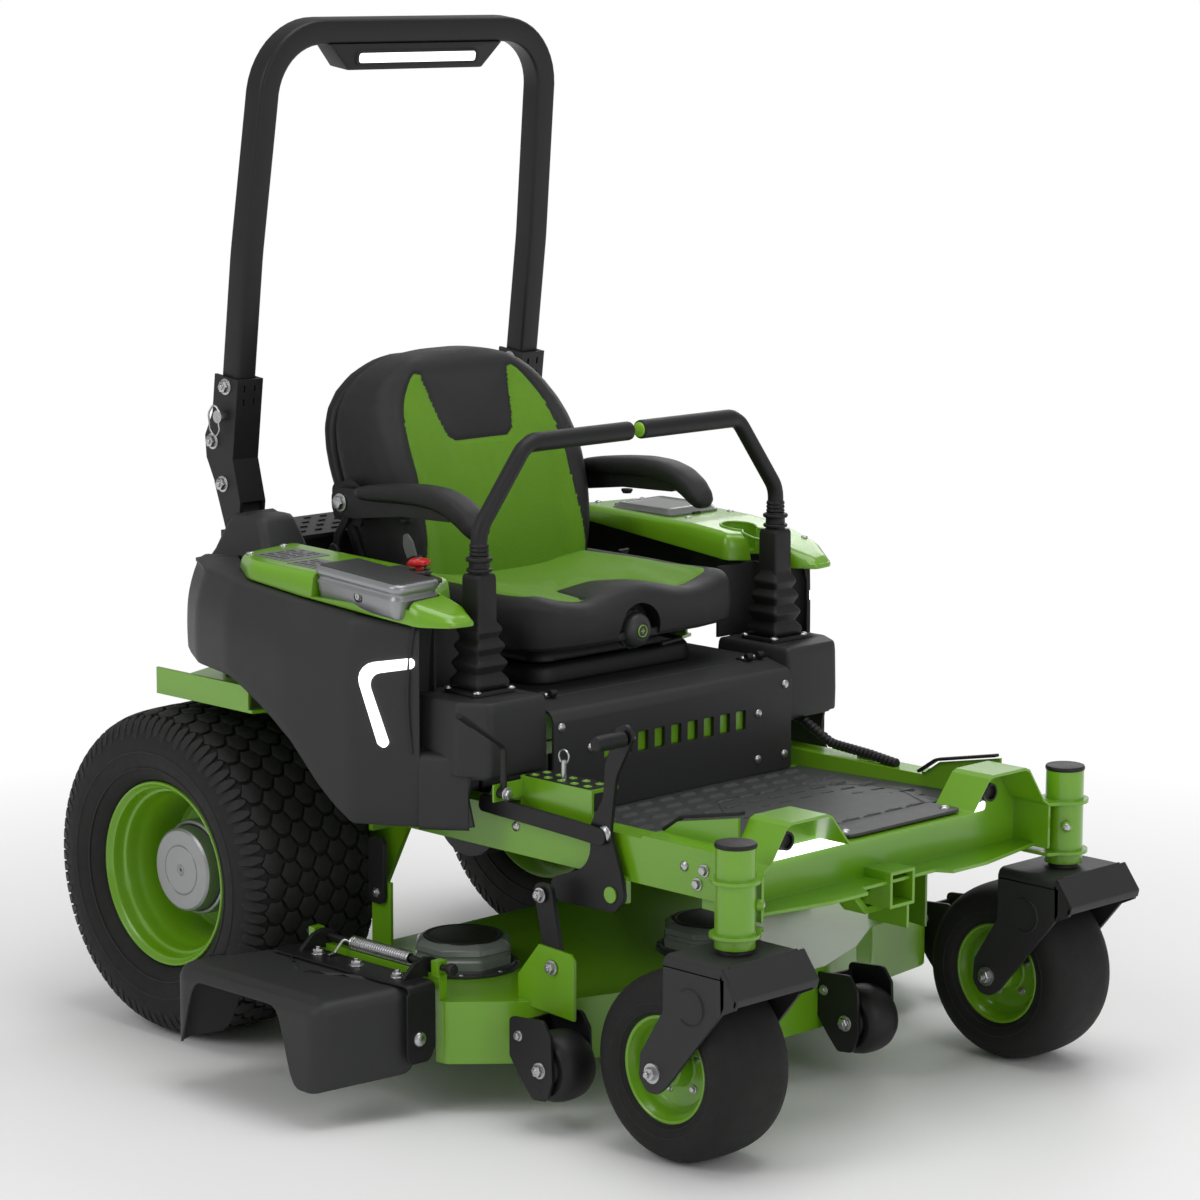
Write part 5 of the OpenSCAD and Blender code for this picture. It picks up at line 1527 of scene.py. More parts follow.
def control_housing():
    outline = resample_loop(rounded([(-541, -352, 20), (-541, -576, 22), (-432, -566, 14),
                                     (-432, -352, 10)], 6), 6)
    normals = outward(outline, np.array([-480.0, -462.0]), smooth=4)

    def stack(rows):
        """rows of (inset, height over the sloping top)."""
        sections = []
        for inset, dz in rows:
            points = outline - normals * inset
            sections.append(lift(points, 902 - (-points[:, 1] - 352) * 0.062 + dz))
        return loft(sections)

    shape = Shape()
    shape.add(stack((
        (16, -62), (11.5, -60), (9, -56), (5.5, -42), (3.0, -30), (2.0, -27.5), (2.8, -25.5),
        (5.8, -22), (6.2, -20), (5.4, -17.5), (1.2, -13.5), (0.2, -11.5), (0, -6), (0.8, -3),
        (3.2, -0.8), (7, 0))))
    # dark top panel, and the panel beside the housing
    shape.add(stack(((7.6, -0.6), (7.6, 0.5), (8.6, 1.3), (12, 1.6))), "dark_grey")
    panel = rounded([(-446, -398, 4), (-446, -522, 4), (-378, -516, 12), (-374, -404, 12)])
    shape.add(drape(panel, -1, 3.2, console_top), "dark_grey")
    # socket-head screw in its well on the outer face
    out = (-1, 0, 0)
    shape.add(lathe([(0, -8), (6.5, -8), (8, -1.2), (9.4, 0.9), (10.2, 0.9), (10.2, -2),
                     (0, -2.0)], (-537, -470, 859), out, 28), "dark_grey")
    shape.add(lathe([(0, 0), (5.2, 0), (5.2, 2), (3, 2), (3, 0.6), (0, 0.6)],
                    (-537.6, -470, 859), out, 16), "bare_metal")
    return shape


def stop_button():
    shape = Shape()
    profile = [(0, -24), (7.4, -24), (7.4, 0), (9, 1), (16.5, 2.5), (19, 5), (19.6, 8.5),
               (18.6, 11.5), (15, 13.4), (8, 14.4), (0, 14.6)]
    shape.add(lathe(profile, (STOP_X, STOP_Y, 895.5), "z", 40))
    for a in (0.6, 3.6):
        place = (STOP_X + 8.5 * math.cos(a), STOP_Y + 8.5 * math.sin(a), 909.4)
        shape.add(lathe([(0, 0), (3.4, 0), (2.6, 0.8), (0, 1.0)], place, "z", 16), "decal_grey")
    return shape


def stop_collar():
    shape = Shape()
    shape.add(lathe([(10.5, 884), (10.5, 890), (19, 890), (21, 888), (21, 884)],
                    (STOP_X, STOP_Y, 0), "z", 32, closed=True))
    return shape


def information_plates():
    """Two plates on the right console, with rows of dark dashes for text."""
    shape = Shape()
    for x0, x1, y0, y1 in ((-505, -400, -240, -150), (-512, -440, -335, -250)):
        shape.add(drape(rounded_box(x0, x1, y0, y1, 4), -0.4, 0.8, console_top))
        k = 0
        y = y1 - 10
        while y - 6 > y0 + 4:
            x = x0 + 8
            while x < x1 - 16:
                width = 10 + (k * 37) % 17
                end = min(x + width, x1 - 7)
                shape.add(drape([(x, y - 5), (end, y - 5), (end, y), (x, y)], 0.5, 1.1,
                                console_top), "black_plastic")
                x += width + 7
                k += 1
            y -= 14
    return shape


make("control_housing_shell", control_housing(), ["silver_plastic", "dark_grey", "bare_metal"],
     "chassis", replaces="control_housing", angle=35)
make("stop_mushroom", stop_button(), ["red_plastic", "decal_grey"], "stop",
     replaces="stop_button", angle=30)
make("stop_collar", stop_collar(), "dark_grey", "chassis", angle=30)
make("information_plates", information_plates(), ["decal_grey", "black_plastic"], "chassis",
     angle=30)


# ---------------------------------------------------------------- steering levers
LEVER_FOOT = (LEVER_X, LEVER_Y, 0)


def square_tiers(rows, corner, n=4, depth=2.0):
    """Square sections round the lever: rows of (z, half width)."""
    return [[(LEVER_X + a, LEVER_Y + b, z) for a, b in bar(2 * s, depth * s, corner, n)]
            for z, s in rows]


def lever_column():
    shape = Shape()
    post = [(a + LEVER_X, b + LEVER_Y) for a, b in bar(26, 26, 3)]
    shape.add(prism(post, 640, 800))
    shape.add(rod([(LEVER_X - 26, LEVER_Y, 640), (LEVER_X + 26, LEVER_Y, 640)], 9, 20))
    shape.add(loft(square_tiers(((792, 19), (796, 21.5), (802, 22.5), (888, 22), (893, 21.2),
                                 (896, 19.5)), 5)), "soft_black")
    collar = [(0, 895), (17.5, 895), (18, 899), (21.6, 900), (22.6, 902), (22.6, 904),
              (21.4, 905.6), (18.2, 906.6), (17.8, 914), (18.6, 917), (22, 918), (23.2, 920),
              (23.2, 922.5), (22, 924.5), (18, 925.5), (17, 927), (0, 927)]
    shape.add(lathe(collar, LEVER_FOOT, "z", 32), "soft_black")
    return shape


def grip_radius(i, point):
    """Bare tube, then a short taper up to the foam grip."""
    x = point[0]
    if x < 250:
        return 16.9
    return 14.6 + 2.3 * (262 - x) / 12 if x < 262 else 14.6


def lever_grip():
    shape = Shape()
    shape.add(lathe([(0, 927.5), (15.5, 927.5), (17, 929), (17.2, 931), (15.6, 934),
                     (17.4, 937), (15.8, 941), (17.2, 944), (16, 948), (0, 948)],
                    LEVER_FOOT, "z", 32))
    path = fillet([(LEVER_X, LEVER_Y, 940), (LEVER_X, LEVER_Y, 972), (266, -602, 1112),
                   (20, -602, 1112)], [52, 46], 12)
    shape.add(pipe(resample(path, 8), (0, 1, 0), grip_radius, 28))
    end, inner = (20.5, -602, 1112), (-1, 0, 0)
    shape.add(lathe([(16.9, 0), (17, 3), (16.2, 6.5), (14.2, 7.6), (0, 7.6)], end, inner, 28))
    shape.add(lathe([(0, 5), (13.4, 5), (13.6, 7.4), (13.2, 9.2), (11.5, 10.4), (0, 10.8)],
                    end, inner, 28), "lime_cap")
    return shape


def lever_bellows():
    shape = Shape()
    shape.add(loft(square_tiers((
        (698, 33), (701, 37), (708, 38.5), (714, 37), (724, 29.5), (727, 29.5), (738, 35.5),
        (742, 36.2), (746, 34.5), (755, 27), (758, 27), (768, 32.5), (772, 33.2), (776, 31.5),
        (784, 24.8), (787, 24.8), (796, 29.4), (800, 29.8), (804, 28.4), (812, 22.8),
        (820, 22.4)), 6, n=3), caps=False))
    return shape


def boot_plate():
    shape = Shape()
    shape.add(loft(square_tiers(((690.3, 47), (694, 47), (697, 45.5), (698, 42)), 9,
                                depth=1.84)))
    for i in (-1, 1):
        for j in (-1, 1):
            screw(shape, (LEVER_X + i * 40, LEVER_Y + j * 36, 697.6), (0, 0, 1), 4.6,
                  "bare_metal")
    return shape


both_sides("lever_column_{s}", lever_column(), ["black_paint", "soft_black"], "lever_{s}",
           replaces="lever_base_{s}", angle=35)
both_sides("lever_grip_{s}", lever_grip(), ["soft_black", "lime_cap"], "grip_{s}",
           replaces="lever_tube_{s}", slot="soft_black", angle=40)
both_sides("boot_plate_{s}", boot_plate(), ["black_plastic", "bare_metal"], "chassis",
           slot="soft_black", angle=35)
bellows = lever_bellows()
for s, x, half in (("l", LEVER_X, bellows), ("r", -LEVER_X, bellows.mirrored())):
    ob = make(f"lever_bellows_{s}", half, "soft_black", None, replaces=f"lever_boot_{s}",
              angle=48, solid=1.6)
    apply_mods(ob)
    ob.data.set_sharp_from_angle(angle=math.radians(48))
    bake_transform(ob)


# ---------------------------------------------------------------- roll bar
def rops(p):
    """From the upper roll bar's own leaning frame to the machine frame."""
    x, y, z = p
    cos, sin = math.cos(ROPS_LEAN), math.sin(ROPS_LEAN)
    return (x, ROPS_BASE_Y + y * cos - z * sin, ROPS_BASE_Z + y * sin + z * cos)


def rops_section(outline, y):
    return [rops((x, y, z)) for x, z in outline]


def roll_hoop():
    radius = 117  # of the upper corners
    arc = [(-345.1 + radius - radius * math.cos(a), 0, 584 + radius * math.sin(a))
           for a in np.radians(np.linspace(0, 90, 19))]
    right = [(-357, 0, -34), (-357, 0, 292), (-356.6, 0, 308), (-345.4, 0, 574)] + arc
    path = right + [(-x, y, z) for x, y, z in reversed(right)]
    shape = Shape()
    shape.add(sweep([rops(p) for p in resample(path, 16)], bar(46, 46, 7), up=(0, 1, 0)))
    return shape


def lamp_body():
    shape = Shape()
    sections = []
    # (y, half width above, half width below, z below)
    for y, a, b, low in ((22, 208, 172, 637), (20, 212, 170, 633), (-20, 214, 166, 631),
                         (-25, 212, 165, 632), (-27, 206, 160, 636)):
        outline = rounded([(-a, 679, 0.5), (-b, low, 9), (b, low, 9), (a, 679, 0.5)], 4)
        sections.append(rops_section(outline, y))
    shape.add(loft(sections))
    bezel = rounded_box(-152, 152, 641, 667, 8)
    opening = rounded_box(-145, 145, 645, 663, 6)
    shape.add(loft([rops_section(bezel, -26.5), rops_section(bezel, -29.5),
                    rops_section(opening, -29.5), rops_section(opening, -27.2)], caps=False))
    return shape


def lamp_lens():
    shape = Shape()
    shape.add(loft([
        rops_section(rounded_box(-145 + inset, 145 - inset, 645 + inset, 663 - inset, 6), y)
        for y, inset in ((-26.8, 0), (-28.2, 0), (-28.9, 1.2), (-29.1, 3))]))
    return shape


make("roll_hoop", roll_hoop(), "black_paint", "roll_bar", replaces="rops_hoop", angle=35)
make("roll_bar_lamp_body", lamp_body(), "black_plastic", "roll_bar", replaces="rops_light",
     angle=35)
make("roll_bar_lamp_lens", lamp_lens(), "light_lens", "roll_bar", angle=35)


# ---------------------------------------------------------------- discharge chute
def chute_top(x):
    return np.interp(-x, [576, 640, 770, 786], [230, 229, 219, 214])


def skirt_depth(x, y):
    """Deep on the front and rear flanges, a short lip on the outer edge."""
    if x > -600:
        return 26.0
    if y < -560:
        return 150.0
    return 140.0 if y > -300 else 16.0


def chute():
    """Folded sheet with rounded bends."""
    outline = resample_loop(rounded([(-588, -343, 6), (-640, -316, 30), (-786, -232, 34),
                                     (-786, -640, 30), (-588, -700, 10)], 6), 9)
    centre = np.array([-680.0, -470.0])
    normals = outward(outline, centre)
    depth = np.array([skirt_depth(x, y) for x, y in outline])
    for _ in range(5):
        depth = (np.roll(depth, 1) + 2 * depth + np.roll(depth, -1)) / 4
    bend = 22.0
    top = chute_top(outline[:, 0])
    sections = []
    for k in (1.0, 0.97, 0.85, 0.6, 0.35, 0.1, 0.0):
        drop = np.where(depth > bend, bend + (depth - bend) * k, depth)
        sections.append(lift(outline, top - drop))
    for degrees in (15, 30, 45, 60, 75, 90):
        a = math.radians(degrees)
        sections.append(lift(outline - normals * bend * (1 - math.cos(a)),
                             top - np.minimum(bend, depth) * (1 - math.sin(a))))
    rim = np.array(sections[-1])[:, :2]
    for k in range(1, 10):
        points = about(rim, centre, 1 - k / 10)
        sections.append(lift(points, chute_top(points[:, 0])))
    shape = Shape()
    shape.add(dome(sections, (*centre, chute_top(centre[0])), floor=False))
    return shape


def chute_hinge():
    """Hinge strip with its front tab folded down over the flange."""
    shape = Shape()
    shape.add(prism(rounded([(-576, -366, 4), (-576, -694, 4), (-632, -700, 12),
                             (-640, -640, 20), (-640, -350, 16), (-604, -348, 10)]), 230.4, 235))
    tab = rounded([(-576, 226, 6), (-576, 120, 12), (-590, 98, 14), (-632, 98, 14),
                   (-640, 112, 10), (-640, 222, 8)])
    shape.add(prism(tab, -705, -700.4, "xz"))
    fold = fillet([(-606, -690, 232.6), (-606, -702.6, 232.6), (-606, -702.6, 214)], 9, 6)
    shape.add(sweep(fold, bar(60, 4.6, 1)))
    ear = rounded([(-616, 234, 2), (-554, 234, 2), (-541, 246, 8), (-542, 264, 10),
                   (-566, 268, 10), (-590, 262, 8), (-616, 240, 6)])
    for y in (-667, -402):
        shape.add(prism(ear, y - 4, y + 4, "xz"))
    for x, y in ((-600, -430), (-604, -535), (-604, -640)):
        bolt(shape, (x, y, 235), (0, 0, 1), 6.2, "bare_metal", tail=5)
    screw(shape, (-612, -705.4, 140), (0, -1, 0), 7.2, "bare_metal")
    shape.add(prism(rounded([(-700, -300, 3), (-728, -286, 3), (-724, -279, 3),
                             (-696, -293, 3)]), 225.6, 228.0), "soft_black")
    return shape


def chute_spring():
    """Hinge rod, torsion spring and its leg, and the deck's side studs."""
    rod_x, rod_z = -554, 253
    shape = Shape()
    shape.add(rod([(rod_x, -730, rod_z), (rod_x, -352, rod_z)], 6, 18))
    for y in (-716, -362):
        shape.add(lathe([(0, 0), (10, 0), (11, 3), (11, 9), (9, 12), (0, 12)],
                        (rod_x, y, rod_z), (0, -1, 0), 20))
    turns = 26
    coil = [(rod_x + 10.2 * math.cos(a), -470 - 150 * a / (2 * math.pi * turns),
             rod_z + 10.2 * math.sin(a))
            for a in np.linspace(0, 2 * math.pi * turns, turns * 16)]
    shape.add(rod(coil, 2.6, 8), "bare_metal")
    leg = fillet([(-564, -470, 256), (-572, -466, 262), (-590, -462, 240), (-604, -462, 238)],
                 [6, 6], 5)
    shape.add(rod(leg, 2.6, 8), "bare_metal")
    for side in (-1, 1):
        for x, y, z in ((452, -864, 266), (448, -832, 385), (402, -372, 300)):
            shape.add(cylinder(6, -14, 14, (side * x, y, z), "x", 18), "bare_metal")
            bolt(shape, (side * (x + 6), y, z), (side, 0, 0), 6.5, "bare_metal", tail=5)
    return shape


make("discharge_chute_sheet", chute(), "charcoal_plastic", "discharge", replaces="chute",
     angle=40, solid=4.0)
make("chute_hinge_strip", chute_hinge(), ["black_paint", "bare_metal", "soft_black"],
     "discharge", angle=35, bevel=0.9)
make("chute_rod_and_spring", chute_spring(), ["soft_black", "bare_metal"], "deck",
     replaces="deck_hardware", slot="bare_metal", angle=35)


# ---------------------------------------------------------------- deck motors
def deck_motor(shape, mx, my):
    """A motor with an octagonal clear cover, at plan place (mx, my)."""
    centre = (mx, my, 0)

    def octagon(radius, z):
        corners = [(mx + radius * math.cos(a), my + radius * math.sin(a), radius * 0.16)
                   for a in (math.radians(22.5 + 45 * i) for i in range(8))]
        return lift(rounded(corners, 3), z)

    shape.add(lathe([(0, 197), (98, 197), (98, 203), (92, 205), (90, 208), (0, 208)], centre,
                    "z", 48))
    shape.add(loft([octagon(r, z) for r, z in (
        (86, 206), (90, 208), (90.5, 222), (86, 226), (86, 230), (89, 233), (88, 242),
        (80, 249), (71, 251.5))], caps=False), "clear_cover")
    shape.add(lathe([(0, 250), (70, 250), (71, 251.8), (70, 253.2), (64, 254), (61, 253),
                     (58, 253.8), (0, 253.9)], centre, "z", 48), "black_plastic")
    # stator seen through the cover, with its teeth
    shape.add(lathe([(0, 206), (64, 206), (66, 210), (66, 238), (60, 243), (0, 243)], centre,
                    "z", 40))
    for i in range(12):
        a = 2 * math.pi * i / 12
        tooth = [(mx + 67 * math.cos(a + turn) + out * math.cos(a),
                  my + 67 * math.sin(a + turn) + out * math.sin(a))
                 for turn, out in ((-0.09, 0), (0.09, 0), (0.07, 7), (-0.07, 7))]
        shape.add(prism(tooth, 210, 236), "bare_metal")
    for i in range(8):
        a = math.radians(45 * i)
        screw(shape, (mx + 93.5 * math.cos(a), my + 93.5 * math.sin(a), 203.6), (0, 0, 1), 2.6,
              "bare_metal")
    shape.add(tube(12.6, 24, 160, 200, centre, "z", 32))  # spindle below the deck


motors = Shape()
for x, y in ((-378, -560), (15, -785), (408, -560)):
    deck_motor(motors, x, y)
make("deck_motor_covers", motors,
     ["motor_grey", "clear_cover", "black_plastic", "bare_metal"], "deck",
     replaces="deck_motors", slot="motor_grey", angle=30)

# ---------------------------------------------------------------- anti-scalp rollers
ROLLERS = {"r": (-478, -905), "m": (100, -1072), "l": (612, -868)}  # plan places
ROLLER_Z = 110
ROLLER_PROFILE = [(8.3, -39), (24, -39), (27, -37), (30, -33), (36, -36.5), (46, -37.5),
                  (53, -33), (58, -24), (60.4, -12), (61, 0), (60.4, 12), (58, 24), (53, 33),
                  (46, 37.5), (36, 36.5), (30, 33), (27, 37), (24, 39), (8.3, 39)]
for key, (x, y) in ROLLERS.items():
    roller = Shape()
    roller.add(lathe(ROLLER_PROFILE, (x, y, ROLLER_Z), "x", 56, closed=True))
    make(f"scalp_roller_{key}", roller, "black_plastic", f"wheelet_{key}",
         replaces=f"roller_{key}")


def roller_bracket(shape, x, y):
    plate = rounded([(y + 72, 190, 10), (y - 8, 197, 12), (y - 27, 172, 10), (y - 31, 96, 12),
                     (y - 18, 60, 12), (y + 16, 56, 12), (y + 42, 84, 14), (y + 72, 122, 10)])
    for side in (-1, 1):
        out = (side, 0, 0)
        face = x + side * 48
        shape.add(prism(plate, *span(side, 42, 48, x), "yz"))
        bolt(shape, (face, y, ROLLER_Z), out, 7, "bare_metal", tail=3)
        for z in (90, 74):  # painted shade: dark discs on the plate where the spare holes are, no holes cut
            shape.add(cylinder(4.4, -0.4, 0.5, (face, y, z), out, 18), "soft_black")
        bolt(shape, (face, y + 50, 160), out, 4.5, "bare_metal")
    shape.add(rod([(x - 44, y, ROLLER_Z), (x + 44, y, ROLLER_Z)], 8, 18), "bare_metal")
    shape.add(box(x - 44, x + 44, y + 64, y + 70, 124, 178))


def deck_brackets():
    shape = Shape()
    for x, y in ROLLERS.values():
        roller_bracket(shape, x, y)
    front = rounded([(-846, 236, 14), (-888, 236, 14), (-852, 404, 14), (-808, 404, 14)])
    rear = rounded([(-352, 280, 12), (-392, 280, 12), (-392, 400, 12), (-352, 400, 12)])
    for side in (-1, 1):  # upright hanger plates
        for x, outline in ((side * 444, front), (side * 410, rear)):
            shape.add(prism(outline, x - 4.5, x + 4.5, "yz"))
    return shape


make("roller_and_hanger_brackets", deck_brackets(), ["black_paint", "bare_metal", "soft_black"],
     "deck", replaces="deck_brackets", slot="black_paint", angle=35, bevel=0.9)


# ---------------------------------------------------------------- caster forks
# leg outline: (y from the pivot, z, radius)
FORK_LEG = [(68, 345, 0), (68, 268, 14), (118, 188, 12), (121, 148, 18), (103, 126, 18),
            (79, 126, 18), (60, 142, 10), (-58, 284, 16), (-66, 300, 0), (-66, 345, 0)]
# top plate with rolled shoulders: (x from the pivot, z)
FORK_TOP = [(-96, 343), (-96, 349), (-93.4, 355.6), (-89, 359.6), (-82, 362), (82, 362),
            (89, 359.6), (93.4, 355.6), (96, 349), (96, 343), (88, 343), (88, 349), (84, 353.5),
            (78, 354.5), (-78, 354.5), (-84, 353.5), (-88, 349), (-88, 343)]
# sloped nose plate, and its cheeks: (y from the pivot, z)
FORK_NOSE = [(-60, 362, 4), (-64, 362, 3), (-97, 318, 5), (-93, 303, 3), (-87, 306, 2),
             (-90, 316, 3), (-62, 354, 2), (-58, 354, 2)]
FORK_CHEEK = [(-58, 352), (-64, 352), (-93, 313), (-89, 300), (-60, 286)]


def fork():
    pivot_x, pivot_y = CASTER_X, CASTER_PIVOT_Y

    def side_prism(outline, low, high):
        return prism([(pivot_y + y, z) for y, z in outline], low, high, "yz")

    shape = Shape()
    for side in (-1, 1):
        shape.add(side_prism(rounded(FORK_LEG), *span(side, 89, 96, pivot_x)))
        # open ring pressed into the leg
        arc = [(pivot_x + side * 96.2, pivot_y + 8 + 30 * math.cos(t), 286 + 30 * math.sin(t))
               for t in np.linspace(0.9, 2 * math.pi - 0.9, 40)]
        shape.add(sweep(arc, bar(1.2, 5.2, 0.5, 2), up=(1, 0, 0)))
        shape.add(tube(9, 17, 0, 3, (pivot_x + side * 96, CASTER_AXLE_Y, CASTER_AXLE_Z),
                       (side, 0, 0), 24), "bare_metal")
    shape.add(loft([[(pivot_x + x, pivot_y + y, z) for x, z in FORK_TOP]
                    for y in (68, 66, -58, -62)]))
    shape.add(side_prism(rounded(FORK_NOSE, 3), pivot_x - 96, pivot_x + 96))
    for side in (-1, 1):
        shape.add(side_prism(FORK_CHEEK, *span(side, 89, 96, pivot_x)))
    # shallow rib along the nose's upper edge
    rib_y = pivot_y - 62.5
    shape.add(sweep([(pivot_x - 80, rib_y, 363), (pivot_x + 80, rib_y, 363)], bar(3, 3, 1, 2)))
    # stem and its bearing collar
    shape.add(lathe([(0, 355), (26, 355), (26, 366), (24.5, 369), (18.5, 369), (18.5, 532),
                     (0, 532)], (pivot_x, pivot_y, 0), "z", 36))
    return shape


both_sides("caster_fork_bent_{s}", fork(), ["fork_paint", "bare_metal"], "caster_{s}",
           replaces="caster_fork_{s}", slot="black_paint", angle=33, bevel=1.1, bevel_angle=38)


# ---------------------------------------------------------------- foot plate
def foot_height(y):
    return np.interp(-y, [704, 1100, 1177, 1258], [470, 482, 505.5, 508])


def louvre(shape, x, y):
    """A raised slip stop."""
    z = float(foot_height(y))
    w, d, h = 17.0, 8.5, 5.0
    foot = [(x - w, y - d, z), (x + w, y - d, z), (x + w + 3, y + 1, z), (x + w, y + d, z),
            (x - w, y + d, z), (x - w - 3, y + 1, z)]
    crest = [(x - w * 0.7, y - d * 0.5, z + h), (x + w * 0.7, y - d * 0.5, z + h),
             (x + w * 0.78, y - 0.5, z + h), (x + w * 0.6, y + d * 0.45, z + h * 0.8),
             (x - w * 0.6, y + d * 0.45, z + h * 0.8), (x - w * 0.78, y - 0.5, z + h)]
    shape.add(loft([foot, crest]))


def foot_plate():
    shape = Shape()
    outline = resample_loop(rounded([
        (-332, -705, 4), (332, -705, 4), (332, -1080, 10), (149, -1176, 12), (146, -1250, 14),
        (-146, -1250, 14), (-149, -1176, 12), (-332, -1080, 10)]), 12)
    sections = []
    for scale, dz in ((1.0, -4.6), (1.0, -0.6), (0.997, 0.2)):
        points = about(outline, (0, -960), scale)
        sections.append(lift(points, foot_height(points[:, 1]) + dz))
    for k in range(1, 14):
        points = about(outline, (0, -940), 0.997 * (1 - k / 14))
        sections.append(lift(points, foot_height(points[:, 1]) + 0.2))
    shape.add(dome(sections, (0, -940, foot_height(-940) + 0.2)))
    for j in range(10):
        y = -738 - 46 * j
        limit = float(np.interp(-y, [700, 1080, 1176, 1250], [320, 320, 140, 136])) - 20
        for i in range(11):
            x = -275 + 55 * i + (27.5 if j % 2 else 0)
            by_button = (x + 200) ** 2 + (y + 1010) ** 2 < 44 ** 2
            if abs(x) <= limit and not by_button:
                louvre(shape, x, y)
    for x in (-128, 128):
        screw(shape, (x, -1225, foot_height(-1225) + 0.4), (0, 0, 1), 5, "bare_metal")
    return shape


make("foot_plate_pressed", foot_plate(), ["foot_grey", "bare_metal"], "chassis",
     replaces="foot_plate", slot="charcoal_plastic", angle=30)

# ---------------------------------------------------------------- knee panel
SLOT_PITCH = 42
SLOT_STEPS = range(-4, 5)


def knee_panel():
    shape = Shape()
    path = fillet([(0, -708, 472), (0, -708, 640), (0, -700, 655), (0, -648, 667)], [12, 14], 6)
    shape.add(sweep(path, [(-303, -2.6), (303, -2.6), (303, 2.6), (-303, 2.6)], up=(0, -1, 0)))
    return shape


def knee_slots():
    shape = Shape()
    for i in SLOT_STEPS:
        x = i * SLOT_PITCH
        shape.add(prism(rounded_box(x - 13, x + 13, 560, 596, 3, 3), -730, -690, "xz"))
    return shape


def knee_backing():
    shape = Shape()
    for i in SLOT_STEPS:
        shape.add(box(i * SLOT_PITCH - 12, i * SLOT_PITCH + 12, -703, -701, 561, 595))
    shape.add(box(-200, 200, -701, -699, 552, 604))
    return shape


def knee_screws():
    shape = Shape()
    for x, z in ((-214, 585), (214, 585), (-214, 500), (214, 500), (-285, 630), (285, 630),
                 (-285, 500), (285, 500)):
        screw(shape, (x, -711, z), (0, -1, 0), 4.6)
    return shape


panel = make("knee_panel_folded", knee_panel(), "charcoal_plastic", "chassis",
             replaces="knee_panel", angle=35)
subtract(panel, "shape_cut", knee_slots(), "green_paint")
reshade(panel, 32)
make("knee_panel_backing", knee_backing(), "green_paint", "chassis", angle=30)
make("knee_panel_screws", knee_screws(), "bare_metal", "chassis", angle=30)


# ---------------------------------------------------------------- seat platform
def seat_platform():
    shape = Shape()
    outline = rounded([(-303, -8, 12), (303, -8, 12), (303, -646, 18), (-303, -646, 18)])
    shape.add(loft(tiers(outline, (0, -327), (
        (662.6, 1.0), (667.5, 1.0), (669.4, 0.998), (670.1, 0.993)))))
    for side in (-1, 1):
        shape.add(box(*span(side, 297, 303), -640, -12, 640, 664))
        # front hinge: two knuckles, a leaf and its screws
        for x in (250, 280):
            shape.add(rod([(side * (x - 7), -652, 678), (side * (x + 7), -652, 678)], 6.4, 16),
                      "black_paint")
        shape.add(box(*span(side, 240, 290), -652, -628, 670, 673.5), "black_paint")
        for x in (252, 278):
            screw(shape, (side * x, -636, 673.5), (0, 0, 1), 4, "bare_metal")
    return shape


make("seat_platform", seat_platform(), ["charcoal_plastic", "black_paint", "bare_metal"],
     "chassis", replaces="seat_plate", angle=35, bevel=1.0)


# ---------------------------------------------------------------- small frame parts
def arch_fittings(shape, side):
    """Caster pivot cap, edge strip, bolts and plug on one side of the front arch."""
    metal = "bare_metal"
    out = (side, 0, 0)
    shape.add(lathe([(0, 535.5), (34.3, 535.5), (34.8, 537), (34.8, 540), (33.5, 542.6),
                     (30, 543.4), (0, 543.6)], (side * CASTER_X, CASTER_PIVOT_Y, 0), "z", 40))
    slant = (-side, -1, 0)
    shape.add(lathe([(0, 0), (9.5, 0), (9.5, 10), (8, 12), (0, 12)],
                    (side * (CASTER_X - 23.8), CASTER_PIVOT_Y - 23.8, 440), slant, 20),
              "green_paint")
    screw(shape, (side * (CASTER_X - 32), CASTER_PIVOT_Y - 32, 440), slant, 3.8, metal)
    edge = fillet([(side * 326, -1176, 562), (side * 326, -1040, 534), (side * 326, -1000, 507)],
                  [30], 6)
    shape.add(sweep(edge, bar(13, 5.5, 2)))
    for y, z in ((-1130, 445), (-1145, 470)):
        bolt(shape, (side * 383.6, y, z), out, 5.4, metal)
    for y in (-1100, -905, -700):
        screw(shape, (side * 383.6, y, 470), out, 5.0, metal)
    plug = (side * 262, -1184, 512)
    shape.add(lathe([(0, 0), (19, 0), (21, 3), (21, 9), (17, 11), (17, 24), (13, 28), (0, 28)],
                    plug, (0, -1, 0), 24))
    shape.add(lathe([(12, 28), (16, 28), (16, 34), (12, 34)], plug, (0, -1, 0), 20,
                    closed=True))


def roll_bar_fittings(shape, side):
    """Pin, spring clip and bolts of one roll bar joint."""
    metal = "bare_metal"
    out = (side, 0, 0)

    def joint(x, y, z):
        return rops((side * x, y, z))

    shape.add(rod([joint(319, 0, 0), joint(399, 0, 0)], 8, 18), metal)
    shape.add(rod([joint(397, 0, 0), joint(403, 0, 0)], 12, 20), metal)
    clip = fillet([joint(401, -6, 8), joint(404, 10, 24), joint(404, 24, 2),
                   joint(404, 16, -26), joint(404, 0, -40), joint(403, -10, -24),
                   joint(401, 2, 2)], [8, 12, 12, 8, 10], 5)
    shape.add(rod(clip, 1.8, 10), metal)
    for y, z in ((0, 55), (-10, -125), (26, -52)):
        bolt(shape, joint(387.6, y, z), out, 7.5, metal, tail=5)
        bolt(shape, joint(326.4, y, z), (-side, 0, 0), 7.5, metal)
    for y, z in ((30, 905), (-10, 895)):
        bolt(shape, (side * 391.5, y, z), out, 7, metal, tail=4)


